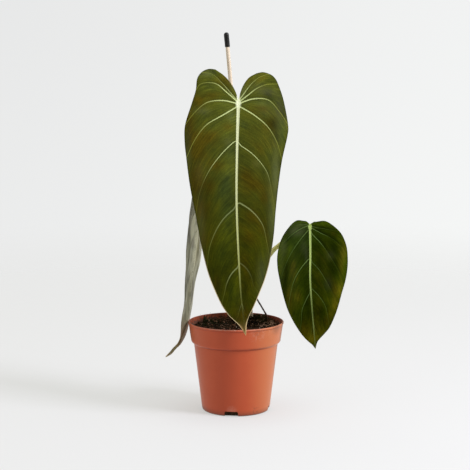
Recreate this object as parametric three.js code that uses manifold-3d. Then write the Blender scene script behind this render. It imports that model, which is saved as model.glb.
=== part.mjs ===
// Potted black gold philodendron: a terracotta coloured nursery pot filled with soil, a short
// climbing stem with three hanging, long heart shaped leaves, one aerial root and a wooden stake.
// Millimetres, +Z up. The origin is the middle of the pot's base, and -Y is the plant's front.

import * as THREE from 'three';
import { mergeVertices } from 'three/addons/utils/BufferGeometryUtils.js';
import Module from 'manifold-3d';

// Driving dimensions of the pot
const potHeight = 112.8;
const potTopRadius = 60;
const potFootRadius = 42.8;
const potShoulderRadius = 52.6;
const potShoulderHeight = 85.1;
const rimBandHeight = 27;
const potWall = 1.1;
const potFloor = 1.6;
const drainSlot = { width: 17, height: 6.5, depth: 12, corner: 2, count: 4, turn: -7.9 };

// Driving dimensions of the soil
const soilLevel = 104.3;
const soilHeap = { x: 27, y: 38, height: 5.5, spreadX: 19, spreadY: 24 };
const soilLump = 0.8;

// Driving dimensions of the stake, the stem and the stalks
const stakeDiameter = 5;
const stakeTipDiameter = 6.4;
const stakeTipLength = 18.4;
const stakeFoot = [23.8, 36.7, 63.7];
const stakeTop = [-12.2, 48, 472];
const touchGap = 0.3;

// Driving dimensions of a blade
const bladeThickness = 0.8;
const midribHeight = 2.2;
const veinHeight = 0.6;
const midribShare = 0.06;

// A leaf form is an outline laid flat, with x running out from the midrib on either side and y
// from the top of the stalk toward the tip. Veins are numbered from 0, the edge of the notch, to
// the last one, the tip. "start" is where each vein leaves the midrib, "edge" is the margin at
// every vein and half way between two, and "pull" is the point that each vein bends toward.
const adultForm = {
  halfWidth: 64,
  start: [-1, 0.5, 2, 4, 7, 48, 127, 200, 247, 286.6],
  left: {
    edge: [
      [28, -39.1], [36.5, -39.8], [44.8, -36.5], [50.3, -28.1], [51.9, -13], [56.4, 4], [63.9, 31],
      [63.9, 51], [61.3, 71.5], [56.6, 103], [49.9, 138], [45.2, 170], [38.5, 205.2],
      [31.7, 227.5], [24.6, 246.2], [17.4, 259.2], [11, 267.3], [5.8, 274], [0, 286.6],
    ],
    pull: [
      [8, -28], [33, -43], [37, -40], [41.5, -14.5], [45, 22], [36, 67], [32, 144], [17, 205],
      [4, 250], [0, 286.6],
    ],
  },
  right: {
    edge: [
      [22, -34.2], [30, -36.1], [38, -33.4], [43.7, -28.5], [48.2, -20.6], [55.2, -1], [61.1, 27],
      [60.6, 42], [54.7, 72], [51.2, 99], [46.8, 138], [43.5, 166], [37.8, 195.1], [30.7, 218],
      [22.2, 236.5], [13.9, 252.5], [6.9, 263.4], [2.6, 272.2], [0, 286.6],
    ],
    pull: [
      [5, -28], [18, -31], [30.5, -26.5], [37.5, -21], [56, 28], [51, 76], [36.5, 128], [15, 204],
      [3, 250], [0, 286.6],
    ],
  },
};

const youngForm = {
  halfWidth: 46,
  start: [-0.5, 1, 2.5, 9.5, 42.5, 82, 122, 154.7],
  left: {
    edge: [
      [7, -4.3], [17, -4.7], [27, 4], [36.2, 18.6], [40.7, 37], [40.5, 53.2], [37.3, 70.2],
      [33.9, 87.8], [30.2, 103.7], [24.4, 118.5], [17.5, 131.9], [12.3, 139.7], [7.4, 145.4],
      [3.2, 149.5], [0, 154.7],
    ],
    pull: [[3, -3], [14, -2.5], [30, 5], [26, 22], [19, 49], [12, 88], [4, 126], [0, 154.7]],
  },
  right: {
    edge: [
      [7, -3.4], [17, -4.1], [29, 0.8], [39.6, 13], [46.3, 36], [46.5, 54], [43.2, 73.2],
      [37.5, 90.2], [32.2, 104.6], [26.2, 117.9], [19.3, 129.9], [12.3, 137.2], [6.6, 142.2],
      [2.5, 146.9], [0, 154.7],
    ],
    pull: [[3, -2.8], [14, -3], [33, 8], [28, 32], [26, 59], [15, 84], [3.5, 125], [0, 154.7]],
  },
};

// Each leaf hangs along a path of points: the first is behind the lobes, the second is the top
// of the stalk and the last is the tip. "facing" is the way the upper side looks, at the first
// point and at the tip. fold, roll, quilt, wave and lobe shape the blade across that path.
const leaves = {
  front: {
    form: adultForm,
    scale: 1,
    path: [
      [3, -13.5, 429.7], [3, -22, 389.7], [1.4, -36, 330.7], [0.8, -48, 271.2], [2.9, -58, 211.2],
      [6.6, -66, 153.7], [12.2, -77, 109.2],
    ],
    facing: [[0, -1, 0], [0, -1, 0]],
    fold: 0.16,
    roll: 0.16,
    quilt: 0.5,
    wave: 2,
    phase: { left: 0.3, right: 0.9 },
    lobe: 0.0035,
  },
  right: {
    form: youngForm,
    scale: 1,
    path: [
      [92.2, 0, 248.2], [92.1, -4, 235.5], [92.5, -10, 204.4], [92.3, -16, 167.7], [94.7, -22, 130.7],
      [98.7, -31, 83.4],
    ],
    facing: [[0, -1, 0], [0, -1, 0]],
    fold: 0.14,
    roll: 0.2,
    quilt: 1.1,
    wave: 1.4,
    phase: { left: 0.5, right: 0.1 },
    lobe: 0.02,
  },
  left: {
    form: adultForm,
    scale: 0.725,
    path: [
      [-40.6, 14, 293.7], [-43, 13, 264.2], [-48.2, 12, 236.7], [-52.4, 10, 188.7], [-56.6, 9, 162.2],
      [-58, 7, 135.7], [-62.2, 4, 110.7], [-68.5, 1, 90.7], [-75.3, -2, 79.2], [-89.1, -6, 67.9],
    ],
    facing: [[-0.969, 0.245, 0], [-0.992, 0.125, 0]],
    fold: 0.08,
    roll: 0.05,
    quilt: 1,
    wave: 1.3,
    phase: { left: 0.8, right: 0.2 },
    lobe: 0.004,
  },
};

// Paths of the round stems, from the root end up, each with its radius at both ends
const stemPath = [[5.4, 20, 63.7], [6.4, 22, 105.7], [6.4, 23, 131.7], [4.9, 21, 156.7], [3.9, 19, 181.7]];
const frontStalkPath = [
  [4.1, 19.5, 173.7], [3.8, 18, 201.7], [3, 15, 251.7], [2.4, 9, 311.7], [2.2, 1, 357.7], [2.5, -9, 379.7],
  [2.9, -17, 385.2], [3, -24, 384.7],
];
const rightStalkPath = [
  [7.6, 22, 133.7], [11.9, 21, 143.7], [25.4, 18.5, 169.7], [45.4, 15, 198.1], [54, 14, 206.5],
  [73.4, 11, 222.7], [85.4, 6, 230.7], [90.9, 0.5, 233], [92.4, -6, 232.2],
];
const leftStalkPath = [
  [5.3, 21.6, 149.7], [-7.6, 20.5, 183.7], [-23.6, 19, 223.7], [-33.6, 16.5, 250.7], [-38.7, 14.5, 260.2],
  [-45.7, 12.5, 262.2],
];
const rootPath = [
  [4.8, 21, 164.7], [10.4, 26.5, 161.2], [18.9, 29.5, 151.2], [26.4, 31, 136], [32.4, 32, 125.7],
  [38.4, 34, 114.8], [40.6, 35, 109.3], [40.8, 34.6, 99],
];
const stemRadii = [4.9, 4];
const stalkRadii = { front: [3.6, 2.6], right: [3.6, 2.5], left: [3.3, 2.3] };
const rootRadii = [0.85, 1.2];

const wasm = await Module();
wasm.setup();

// Closed meshes to solids and back, for the cuts
function toSolid(geometry) {
  const bare = geometry.clone();
  bare.deleteAttribute('normal');
  bare.deleteAttribute('uv');
  const merged = mergeVertices(bare, 1e-4);
  return new wasm.Manifold(new wasm.Mesh({
    numProp: 3,
    vertProperties: new Float32Array(merged.attributes.position.array),
    triVerts: new Uint32Array(merged.index.array),
  }));
}

function toGeometry(solid) {
  const mesh = solid.getMesh();
  const geometry = new THREE.BufferGeometry();
  geometry.setAttribute('position', new THREE.BufferAttribute(new Float32Array(mesh.vertProperties), 3));
  geometry.setIndex(new THREE.BufferAttribute(new Uint32Array(mesh.triVerts), 1));
  geometry.computeVertexNormals();
  return geometry;
}

function meshFrom(vertices, triangles) {
  const geometry = new THREE.BufferGeometry();
  geometry.setAttribute('position', new THREE.Float32BufferAttribute(vertices.flat(), 3));
  geometry.setIndex(triangles.flat());
  geometry.computeVertexNormals();
  return geometry;
}

// A smooth curve through evenly numbered points, read at any number between two of them
function through(points, position) {
  const last = points.length - 1;
  const at = Math.min(Math.max(position, 0), last);
  const i = Math.min(Math.floor(at), last - 1);
  const t = at - i;
  const before = i > 0 ? points[i - 1] : points[i].map((c, n) => 2 * c - points[i + 1][n]);
  const after = i < last - 1 ? points[i + 2] : points[last].map((c, n) => 2 * c - points[i][n]);
  return points[i].map((from, n) => {
    const to = points[i + 1][n];
    const leave = (to - before[n]) / 2;
    const arrive = (after[n] - from) / 2;
    const bend = -3 * from + 3 * to - 2 * leave - arrive;
    return from + leave * t + bend * t ** 2 + (2 * from - 2 * to + leave + arrive) * t ** 3;
  });
}

function between(values, position) {
  const i = Math.min(Math.floor(position), values.length - 2);
  return THREE.MathUtils.lerp(values[i], values[i + 1], position - i);
}

function smoothCurve(points) {
  return new THREE.CatmullRomCurve3(points.map((p) => new THREE.Vector3(...p)), false, 'catmullrom');
}

// A place on the flat leaf: along vein number q, v of the way from the midrib to the margin
function flatPlace(leaf, side, q, v) {
  const { form, scale } = leaf;
  const start = [0, between(form.start, q)];
  const pull = through(form[side].pull, q);
  const edge = through(form[side].edge, 2 * q);
  return start.map((s, n) => {
    const along = (1 - v) ** 2 * s + 2 * v * (1 - v) * pull[n] + v ** 2 * edge[n];
    return along * scale;
  });
}

// The height of the upper side over the leaf's path: each half rises from the midrib and rolls
// back, swells between its veins, waves at its margin, and the lobes lean back
function relief(leaf, side, q, v, x, y) {
  const width = leaf.form.halfWidth * leaf.scale;
  const across = leaf.fold * x - leaf.roll * width * (x / width) ** 2;
  const swell = Math.abs(Math.sin(Math.PI * q)) ** 0.8 * Math.sin(Math.PI * v ** 0.7);
  const wave = v ** 3 * Math.sin(Math.PI * (q + leaf.phase[side]));
  return across + leaf.quilt * swell + leaf.wave * wave - leaf.lobe * Math.min(y, 0) ** 2;
}

function leafFrame(leaf) {
  const curve = smoothCurve(leaf.path);
  const steps = 40;
  const lengths = curve.getLengths(steps * (leaf.path.length - 1));
  const stalkTop = lengths[steps];
  const total = lengths[lengths.length - 1];
  const [topFacing, tipFacing] = leaf.facing.map((f) => new THREE.Vector3(...f));
  return (y) => {
    const u = THREE.MathUtils.clamp((stalkTop + y) / total, 0, 1);
    const along = curve.getTangentAt(u);
    const outward = topFacing.clone().lerp(tipFacing, u).cross(along).normalize();
    return { place: curve.getPointAt(u), outward, upper: along.clone().cross(outward) };
  };
}

function thickness(leaf, q, v, y) {
  const toTip = 1 - THREE.MathUtils.clamp(y / (leaf.form.start.at(-1) * leaf.scale), 0, 1);
  const rib = Math.sqrt(Math.max(0, 1 - (v / midribShare) ** 2)) * midribHeight * leaf.scale * toTip ** 0.8;
  const onVein = Number.isInteger(q) && q > 0 ? veinHeight * Math.max(0, 1 - v) ** 0.7 : 0;
  return bladeThickness + Math.max(rib, v > 0 ? onVein : 0);
}

// Rows follow the veins, with a close pair on each side of a vein, and columns go outward
function bladeRows(leaf) {
  const last = leaf.form.start.length - 1;
  const rows = [0];
  for (let vein = 0; vein < last; vein += 1) {
    rows.push(vein + 0.06, vein + 0.35, vein + 0.65, vein + 0.94, vein + 1);
  }
  return rows.slice(0, -1);
}

const bladeColumns = [0, 0.5 * midribShare, midribShare, 0.22, 0.44, 0.66, 0.85, 1];

// One blade as a closed sheet. front and back thicken it on the two sides, for a cutting shape.
function bladeGeometry(leaf, front = 0, back = 0) {
  const frame = leafFrame(leaf);
  const places = [
    ...bladeColumns.slice(1).reverse().map((v) => ['left', -1, v]),
    ...bladeColumns.map((v) => ['right', 1, v]),
  ];
  const upperSide = [];
  const lowerSide = [];
  const addPlace = (side, sign, q, v) => {
    const [x, y] = flatPlace(leaf, side, q, v);
    const { place, outward, upper } = frame(y);
    const height = relief(leaf, side, q, v, x, y);
    const onLeaf = place.addScaledVector(outward, sign * x);
    upperSide.push(onLeaf.clone().addScaledVector(upper, height + front).toArray());
    const under = height - thickness(leaf, q, v, y) - back;
    lowerSide.push(onLeaf.addScaledVector(upper, under).toArray());
  };
  const rows = bladeRows(leaf);
  rows.forEach((q) => places.forEach(([side, sign, v]) => addPlace(side, sign, q, v)));
  addPlace('right', 1, leaf.form.start.length - 1, 1);

  const wide = places.length;
  const tip = rows.length * wide;
  const under = tip + 1;
  const lastRow = (rows.length - 1) * wide;
  const triangles = [];
  const bothSides = (a, b, c) => triangles.push([a, b, c], [under + a, under + c, under + b]);
  const wall = (a, b) => triangles.push([a, under + a, b], [b, under + a, under + b]);
  for (let row = 0; row < rows.length - 1; row += 1) {
    for (let column = 0; column < wide - 1; column += 1) {
      const a = row * wide + column;
      bothSides(a, a + wide, a + 1);
      bothSides(a + 1, a + wide, a + wide + 1);
    }
    wall(row * wide, (row + 1) * wide);
    wall((row + 2) * wide - 1, (row + 1) * wide - 1);
  }
  for (let column = 0; column < wide - 1; column += 1) {
    bothSides(lastRow + column, tip, lastRow + column + 1);
    wall(column + 1, column);
  }
  wall(lastRow, tip);
  wall(tip, lastRow + wide - 1);
  return meshFrom([...upperSide, ...lowerSide], triangles);
}

// A round, tapering tube. Each station is a share of the length and a radius.
function tubeGeometry(points, stations, sides) {
  const curve = smoothCurve(points);
  const steps = 200;
  const frames = curve.computeFrenetFrames(steps);
  const vertices = [];
  stations.forEach(([share, radius]) => {
    const centre = curve.getPointAt(share);
    const step = Math.round(share * steps);
    for (let i = 0; i < sides; i += 1) {
      const angle = (i / sides) * 2 * Math.PI;
      const rim = centre.clone().addScaledVector(frames.normals[step], radius * Math.cos(angle));
      vertices.push(rim.addScaledVector(frames.binormals[step], radius * Math.sin(angle)).toArray());
    }
  });
  const footCentre = vertices.length;
  vertices.push(curve.getPointAt(stations[0][0]).toArray(), curve.getPointAt(stations.at(-1)[0]).toArray());
  const top = (stations.length - 1) * sides;
  const triangles = [];
  for (let i = 0; i < sides; i += 1) {
    const next = (i + 1) % sides;
    for (let ring = 0; ring < top; ring += sides) {
      triangles.push([ring + i, ring + next, ring + sides + i]);
      triangles.push([ring + next, ring + sides + next, ring + sides + i]);
    }
    triangles.push([footCentre, next, i], [footCentre + 1, top + i, top + next]);
  }
  return meshFrom(vertices, triangles);
}

function evenStations([first, last], count, flare = 0) {
  return Array.from({ length: count + 1 }, (_, i) => {
    const share = i / count;
    return [share, THREE.MathUtils.lerp(first, last, share) + flare * Math.exp(-share * 12)];
  });
}

function wider(stations, extra) {
  return stations.map(([share, radius]) => [share, radius + extra]);
}

// The pot's inner wall as a profile of radius and height, from the floor to the lip
function innerWall() {
  const bandRadius = potTopRadius - 4 - potWall;
  return [
    [potFootRadius - potWall - 1.6, potFloor],
    [potFootRadius - potWall, potFloor + 2],
    [potShoulderRadius - potWall, potShoulderHeight + 0.4],
    [bandRadius, potHeight - rimBandHeight + 3.6],
    [potTopRadius - potWall - 0.9, potHeight - 0.8],
    [potTopRadius - potWall - 0.4, potHeight],
  ];
}

function innerRadius(height) {
  const wall = innerWall();
  const i = Math.max(wall.findIndex(([, z]) => z > height), 1);
  const [[r0, z0], [r1, z1]] = [wall[i - 1], wall[i]];
  return THREE.MathUtils.mapLinear(height, z0, z1, r0, r1);
}

function latheUpright(profile, sides) {
  const lathe = new THREE.LatheGeometry(profile.map(([r, z]) => new THREE.Vector2(r, z)), sides);
  return lathe.rotateX(Math.PI / 2);
}

function potGeometry() {
  const bandFoot = potHeight - rimBandHeight;
  const outer = [
    [0, 0], [potFootRadius - 2.9, 0], [potFootRadius - 1.3, 0.7], [potFootRadius - 0.4, 1.9],
    [potFootRadius, 3.2], [potShoulderRadius, potShoulderHeight], [potTopRadius - 4, bandFoot + 2.6],
    [potTopRadius - 0.8, potHeight - 3.4], [potTopRadius, potHeight - 2.6],
    [potTopRadius, potHeight - 0.8], [potTopRadius - 0.6, potHeight],
  ];
  let pot = toSolid(latheUpright([...outer, ...innerWall().reverse(), [0, potFloor]], 56));
  for (let i = 0; i < drainSlot.count; i += 1) {
    pot = pot.subtract(toSolid(drainSlotGeometry(drainSlot.turn + (i * 360) / drainSlot.count)));
  }
  return toGeometry(pot);
}

// A slot through the pot's foot, with round upper corners, turned about the pot from its front
function drainSlotGeometry(degrees) {
  const { width, height, depth, corner } = drainSlot;
  const outline = new THREE.Shape();
  outline.moveTo(-width / 2, -2);
  outline.lineTo(width / 2, -2);
  outline.lineTo(width / 2, height - corner);
  outline.absarc(width / 2 - corner, height - corner, corner, 0, Math.PI / 2);
  outline.absarc(corner - width / 2, height - corner, corner, Math.PI / 2, Math.PI);
  const slot = new THREE.ExtrudeGeometry(outline, { depth, bevelEnabled: false, curveSegments: 3 });
  slot.rotateX(Math.PI / 2);
  slot.translate(0, depth - potFootRadius - 5, 0);
  return slot.rotateZ(THREE.MathUtils.degToRad(degrees));
}

function soilHeight(x, y) {
  const { height, spreadX, spreadY } = soilHeap;
  const heap = height * Math.exp(-(((x - soilHeap.x) / spreadX) ** 2) - ((y - soilHeap.y) / spreadY) ** 2);
  const slope = 0.05 * Math.max(y, 0) + 0.03 * Math.min(x, 0);
  const lumps = Math.sin(0.52 * x + 0.9) * Math.cos(0.47 * y) + 0.6 * Math.sin(0.31 * (x + y) + 0.23 * y);
  return soilLevel + heap + slope + soilLump * lumps;
}

// The soil fills the pot, a hair clear of its wall, under a lumpy surface
function soilGeometry() {
  const sides = 48;
  const shares = [1, 0.9, 0.78, 0.65, 0.52, 0.39, 0.26, 0.13];
  const wall = innerWall().slice(0, 4);
  const vertices = [];
  const ring = (place) => {
    for (let i = 0; i < sides; i += 1) {
      vertices.push(place((i / sides) * 2 * Math.PI));
    }
  };
  wall.forEach(([radius, height], level) => {
    const z = height + (level === 0 ? touchGap : 0);
    const r = radius - touchGap - 0.15;
    ring((angle) => [r * Math.cos(angle), r * Math.sin(angle), z]);
  });
  shares.forEach((share) => ring((angle) => {
    const reach = innerRadius(soilLevel) - touchGap - 0.15;
    const top = soilHeight(reach * Math.cos(angle), reach * Math.sin(angle));
    const r = share * (innerRadius(Math.min(top, potHeight)) - touchGap - 0.15);
    const [x, y] = [r * Math.cos(angle), r * Math.sin(angle)];
    return [x, y, soilHeight(x, y)];
  }));
  const centre = vertices.length;
  vertices.push([0, 0, potFloor + touchGap], [0, 0, soilHeight(0, 0)]);
  const rings = wall.length + shares.length;
  const triangles = [];
  for (let i = 0; i < sides; i += 1) {
    const next = (i + 1) % sides;
    for (let level = 0; level < rings - 1; level += 1) {
      const [low, high] = [level * sides, (level + 1) * sides];
      triangles.push([low + i, low + next, high + i], [low + next, high + next, high + i]);
    }
    const top = (rings - 1) * sides;
    triangles.push([centre, next, i], [centre + 1, top + i, top + next]);
  }
  return meshFrom(vertices, triangles);
}

// The stake is a straight dowel, with the dipped tip as a separate cap on its top end
const stakeLine = new THREE.LineCurve3(new THREE.Vector3(...stakeFoot), new THREE.Vector3(...stakeTop));

function alongStake(profile, sides) {
  const rod = latheUpright(profile, sides);
  const upright = new THREE.Vector3(0, 0, 1);
  rod.applyQuaternion(new THREE.Quaternion().setFromUnitVectors(upright, stakeLine.getTangent(0)));
  return rod.translate(...stakeFoot);
}

function dowelGeometry(extra = 0) {
  const radius = stakeDiameter / 2 + extra;
  const length = stakeLine.getLength() - stakeTipLength - touchGap;
  return alongStake([[0, -extra], [radius, -extra], [radius, length], [0, length]], 20);
}

function stakeTipGeometry() {
  const radius = stakeTipDiameter / 2;
  const foot = stakeLine.getLength() - stakeTipLength;
  const shoulder = foot + stakeTipLength - radius;
  const dome = [0, 25, 50, 70].map((degrees) => {
    const angle = THREE.MathUtils.degToRad(degrees);
    return [radius * Math.cos(angle), shoulder + radius * Math.sin(angle)];
  });
  const wall = [[0, foot], [radius - 0.5, foot], [radius, foot + 0.8]];
  return alongStake([...wall, ...dome, [0, shoulder + radius]], 20);
}

// Stations of the stem and the root, with ends rounded by two closer rings
const stemStations = [
  [0, 3.4], [0.02, 4.6], ...evenStations(stemRadii, 12).slice(1, -1), [0.96, 3.9], [0.99, 3], [1, 1.6],
];
const rootStations = [...evenStations(rootRadii, 22).slice(0, -1), [0.985, 1.1], [1, 0.5]];

// A stalk is cut where it enters the stem and where it would pass through its own blade
function stalkGeometry(path, radii, leaf) {
  const stalk = toSolid(tubeGeometry(path, evenStations(radii, 20, 0.7), 12));
  const stem = toSolid(tubeGeometry(stemPath, wider(stemStations, touchGap), 18));
  const blade = toSolid(bladeGeometry(leaf, 14, touchGap));
  return toGeometry(stalk.subtract(stem).subtract(blade));
}

function rootGeometry() {
  const stem = toSolid(tubeGeometry(stemPath, wider(stemStations, touchGap), 18));
  return toGeometry(toSolid(tubeGeometry(rootPath, rootStations, 8)).subtract(stem));
}

// The holes that the stem, the root and the stake stand in
function soilWithHoles() {
  const stemHole = toSolid(tubeGeometry(stemPath, wider(stemStations, 2 * touchGap), 18));
  const rootHole = toSolid(tubeGeometry(rootPath, wider(rootStations, 2 * touchGap), 8));
  const stakeHole = toSolid(dowelGeometry(touchGap));
  return toGeometry(toSolid(soilGeometry()).subtract(stemHole).subtract(rootHole).subtract(stakeHole));
}

const plasticOrange = { color: 0xb4593a, roughness: 0.5, metalness: 0 };
const soilDark = { color: 0x2a1c14, roughness: 1, metalness: 0 };
const stemGreen = { color: 0x5d5a2c, roughness: 0.7, metalness: 0 };
const stalkGreen = { color: 0x8d9353, roughness: 0.6, metalness: 0 };
const bladeOlive = { color: 0x3f4a1b, roughness: 0.5, metalness: 0 };
const bladeDeep = { color: 0x26391a, roughness: 0.45, metalness: 0 };
const rootBrown = { color: 0x5b4636, roughness: 0.9, metalness: 0 };
const dowelWood = { color: 0xd9c79e, roughness: 0.75, metalness: 0 };
const tipBlack = { color: 0x15140f, roughness: 0.45, metalness: 0 };

const plant = new THREE.Group();

function addMesh(name, geometry, look) {
  const mesh = new THREE.Mesh(geometry, new THREE.MeshStandardMaterial(look));
  mesh.name = name;
  plant.add(mesh);
}

addMesh('pot', potGeometry(), plasticOrange);
addMesh('soil', soilWithHoles(), soilDark);
addMesh('main_stem', tubeGeometry(stemPath, stemStations, 18), stemGreen);
addMesh('front_stalk', stalkGeometry(frontStalkPath, stalkRadii.front, leaves.front), stalkGreen);
addMesh('right_stalk', stalkGeometry(rightStalkPath, stalkRadii.right, leaves.right), stalkGreen);
addMesh('left_stalk', stalkGeometry(leftStalkPath, stalkRadii.left, leaves.left), stalkGreen);
addMesh('front_blade', bladeGeometry(leaves.front), bladeOlive);
addMesh('right_blade', bladeGeometry(leaves.right), bladeDeep);
addMesh('left_blade', bladeGeometry(leaves.left), bladeOlive);
addMesh('aerial_root', rootGeometry(), rootBrown);
addMesh('stake', dowelGeometry(), dowelWood);
addMesh('stake_tip', stakeTipGeometry(), tipBlack);

export default plant;
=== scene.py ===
import math

import bpy
import numpy as np
from bpy.props import FloatProperty, FloatVectorProperty, IntProperty, PointerProperty
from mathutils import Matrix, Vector, noise
from mathutils.bvhtree import BVHTree


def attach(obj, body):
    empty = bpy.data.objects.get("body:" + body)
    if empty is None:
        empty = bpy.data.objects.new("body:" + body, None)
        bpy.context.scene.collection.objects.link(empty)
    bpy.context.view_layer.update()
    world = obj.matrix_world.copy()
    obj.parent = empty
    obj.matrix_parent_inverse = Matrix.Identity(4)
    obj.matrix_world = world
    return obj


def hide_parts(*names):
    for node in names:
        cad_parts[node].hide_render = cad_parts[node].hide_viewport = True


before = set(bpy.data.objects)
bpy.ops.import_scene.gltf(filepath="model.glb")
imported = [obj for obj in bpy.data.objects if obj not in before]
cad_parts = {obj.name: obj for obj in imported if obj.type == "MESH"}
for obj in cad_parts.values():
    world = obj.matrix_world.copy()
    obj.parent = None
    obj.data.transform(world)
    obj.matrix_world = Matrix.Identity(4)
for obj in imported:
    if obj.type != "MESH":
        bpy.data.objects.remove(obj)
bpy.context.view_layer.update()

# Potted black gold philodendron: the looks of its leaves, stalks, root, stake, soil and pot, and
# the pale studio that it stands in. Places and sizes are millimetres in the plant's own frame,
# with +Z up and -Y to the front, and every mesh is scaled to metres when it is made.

bl_info = {
    "name": "Potted black gold philodendron",
    "version": (1, 0, 0),
    "blender": (4, 5, 0),
    "location": "View3D > Sidebar > Philodendron",
    "description": "Makes the leaves, stalks, root, stake, soil and pot of a potted philodendron",
    "category": "Add Mesh",
}

MM = 0.001
BODY = "root"
FILM_WIDTH = 36


# Sizes and colours that a user would change

def colour(name, description, default):
    return FloatVectorProperty(
        name=name, description=description, default=default, size=3, min=0, max=1, subtype="COLOR"
    )


def length(name, description, default):
    return FloatProperty(
        name=name, description=description, default=default, min=0, unit="LENGTH", subtype="DISTANCE"
    )


class StageSettings(bpy.types.PropertyGroup):
    """The camera, the pale floor and backdrop, and the soft light"""

    camera_place: FloatVectorProperty(
        name="Camera place", description="Where the camera stands", size=3,
        default=(-0.00111, -1.9663, 0.4934), subtype="TRANSLATION", unit="LENGTH",
    )
    camera_tilt: FloatProperty(
        name="Camera tilt", description="How far the camera looks down", default=math.radians(7.865),
        subtype="ANGLE", unit="ROTATION",
    )
    focal_length: FloatProperty(
        name="Focal length", description="On a 36 mm wide film", default=121.94, unit="CAMERA"
    )
    floor_colour: colour("Floor", "Paper that the pot stands on", (0.30, 0.30, 0.30))
    floor_glow: colour("Floor glow", "Evens out the light on the paper", (0.50, 0.50, 0.48))
    backdrop_dark: colour("Backdrop, left", "The shaded left of the backdrop", (0.80, 0.805, 0.805))
    backdrop_light: colour("Backdrop, right", "The lit right of the backdrop", (0.915, 0.925, 0.92))
    key_power: FloatProperty(
        name="Key light", description="Soft box to the right of the plant", default=34, min=0,
        unit="POWER",
    )
    floor_radius: length("Floor radius", "Where the floor has faded into the backdrop", 2.0)


class BladeSettings(bpy.types.PropertyGroup):
    """The three leaf blades"""

    thickness: length("Thickness", "Of the blade between its veins", 0.0005)
    columns: IntProperty(
        name="Columns", description="Faces from the midrib to the margin", default=56, min=8, max=200
    )
    green: colour("Green", "Olive green beside the veins", (0.078, 0.088, 0.008))
    cool: colour("Cool green", "Blue green beside the midrib", (0.058, 0.079, 0.014))
    gold: colour("Gold", "Golden brown between the veins", (0.078, 0.060, 0.003))
    vein: colour("Vein", "Side veins near the midrib", (0.60, 0.68, 0.28))
    vein_end: colour("Vein ends", "Side veins near the margin", (0.31, 0.33, 0.050))
    midrib: colour("Midrib", "Cream midrib", (0.72, 0.75, 0.44))
    midrib_end: colour("Midrib end", "Yellow green midrib near the tip", (0.38, 0.40, 0.11))
    collar: colour("Collar", "Bright head of the midrib, over the stalk", (0.80, 0.85, 0.54))
    # The gleam colour is a painted sheen, mixed into the blades' colour
    gleam: colour("Gleam", "Grey green shine of the velvet", (0.11, 0.115, 0.06))
    margin: colour("Margin", "Dry cream edge near the tip", (0.62, 0.50, 0.26))
    dry: colour("Dry tip", "Tan skin of the curled tip", (0.46, 0.28, 0.11))
    young_green: colour("Young green", "Deep green of the small leaf", (0.025, 0.038, 0.0012))
    young_cool: colour("Young cool green", "Blue green of the small leaf", (0.017, 0.034, 0.0022))
    young_gold: colour("Young gold", "Gold along the small leaf's margin", (0.058, 0.050, 0.003))
    young_vein: colour("Young vein", "Side veins of the small leaf", (0.17, 0.26, 0.065))
    young_vein_end: colour("Young vein end", "Ends of the small leaf's side veins", (0.075, 0.125, 0.022))
    young_midrib: colour("Young midrib", "Bright midrib of the small leaf", (0.42, 0.53, 0.16))
    shade: colour("Shade", "Brown green of the leaf's edge line", (0.030, 0.028, 0.004))
    back: colour("Back", "Dull grey green of the underside", (0.250, 0.245, 0.165))
    back_pale: colour("Back, pale", "Silvery parts of the underside", (0.54, 0.53, 0.37))
    back_olive: colour("Back, olive", "Yellow olive streaks of the underside", (0.24, 0.21, 0.06))
    back_vein: colour("Back vein", "Dark side veins of the underside", (0.085, 0.078, 0.048))
    back_rib: colour("Back midrib", "Pale midrib of the underside", (0.50, 0.49, 0.30))


class StalkSettings(bpy.types.PropertyGroup):
    """The stem, the three stalks and the aerial root"""

    sides: IntProperty(name="Sides", description="Of a stalk's round section", default=28, min=8, max=96)
    pale: colour("Pale skin", "Cream green of the lit side of a stalk", (0.80, 0.76, 0.26))
    olive: colour("Olive skin", "Darker streaks of a stalk", (0.52, 0.50, 0.13))
    bark: colour("Bark", "Brown of the stem and the root", (0.13, 0.085, 0.055))
    husk: colour("Husk", "Dry tan skin at the stem's joints", (0.40, 0.29, 0.17))


class PotSettings(bpy.types.PropertyGroup):
    """The terracotta coloured nursery pot"""

    sides: IntProperty(name="Sides", description="Of the round pot", default=224, min=24, max=512)
    orange: colour("Orange", "Moulded plastic", (0.475, 0.080, 0.026))
    # The faded orange is painted light: it is mixed in on the pot's lit right side and a little at its far
    # left edge
    faded: colour("Faded orange", "Sun bleached side of the pot", (0.50, 0.150, 0.050))
    chalk: colour("Chalk", "Dried water marks and scuffs", (0.62, 0.36, 0.26))
    dirt: colour("Dirt", "Soil smears", (0.09, 0.045, 0.028))
    # The groove colour is painted shade, laid under the lip and in the crease under the band
    groove: colour("Groove", "Dark red shade under the lip and the band", (0.22, 0.022, 0.006))


class SoilSettings(bpy.types.PropertyGroup):
    """The potting mix and what lies in it"""

    crumbs: IntProperty(name="Crumbs", description="Loose crumbs on the soil", default=4200, min=0)
    crumb_size: length("Crumb size", "Of an ordinary crumb", 0.0013)
    chips: IntProperty(name="Bark chips", description="Flat bits of bark", default=90, min=0)
    grains: IntProperty(name="Perlite", description="White grains", default=14, min=0)
    fibres: IntProperty(name="Fibres", description="Pale coir fibres", default=150, min=0)
    peat: colour("Peat", "Dark base of the mix", (0.013, 0.009, 0.0035))
    bark: colour("Bark", "Reddish bark", (0.125, 0.050, 0.022))
    moss: colour("Moss", "Green film and sprigs", (0.030, 0.036, 0.007))
    fibre: colour("Fibre", "Pale dry fibre", (0.60, 0.36, 0.24))


class StakeSettings(bpy.types.PropertyGroup):
    """The wooden stake and its dipped tip"""

    wood: colour("Wood", "Pale ramin wood", (0.74, 0.62, 0.46))
    grain: colour("Grain", "Darker grain lines", (0.55, 0.42, 0.28))
    tip: colour("Tip", "Black dip", (0.008, 0.008, 0.006))


# Shader maths as Python expressions

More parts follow.
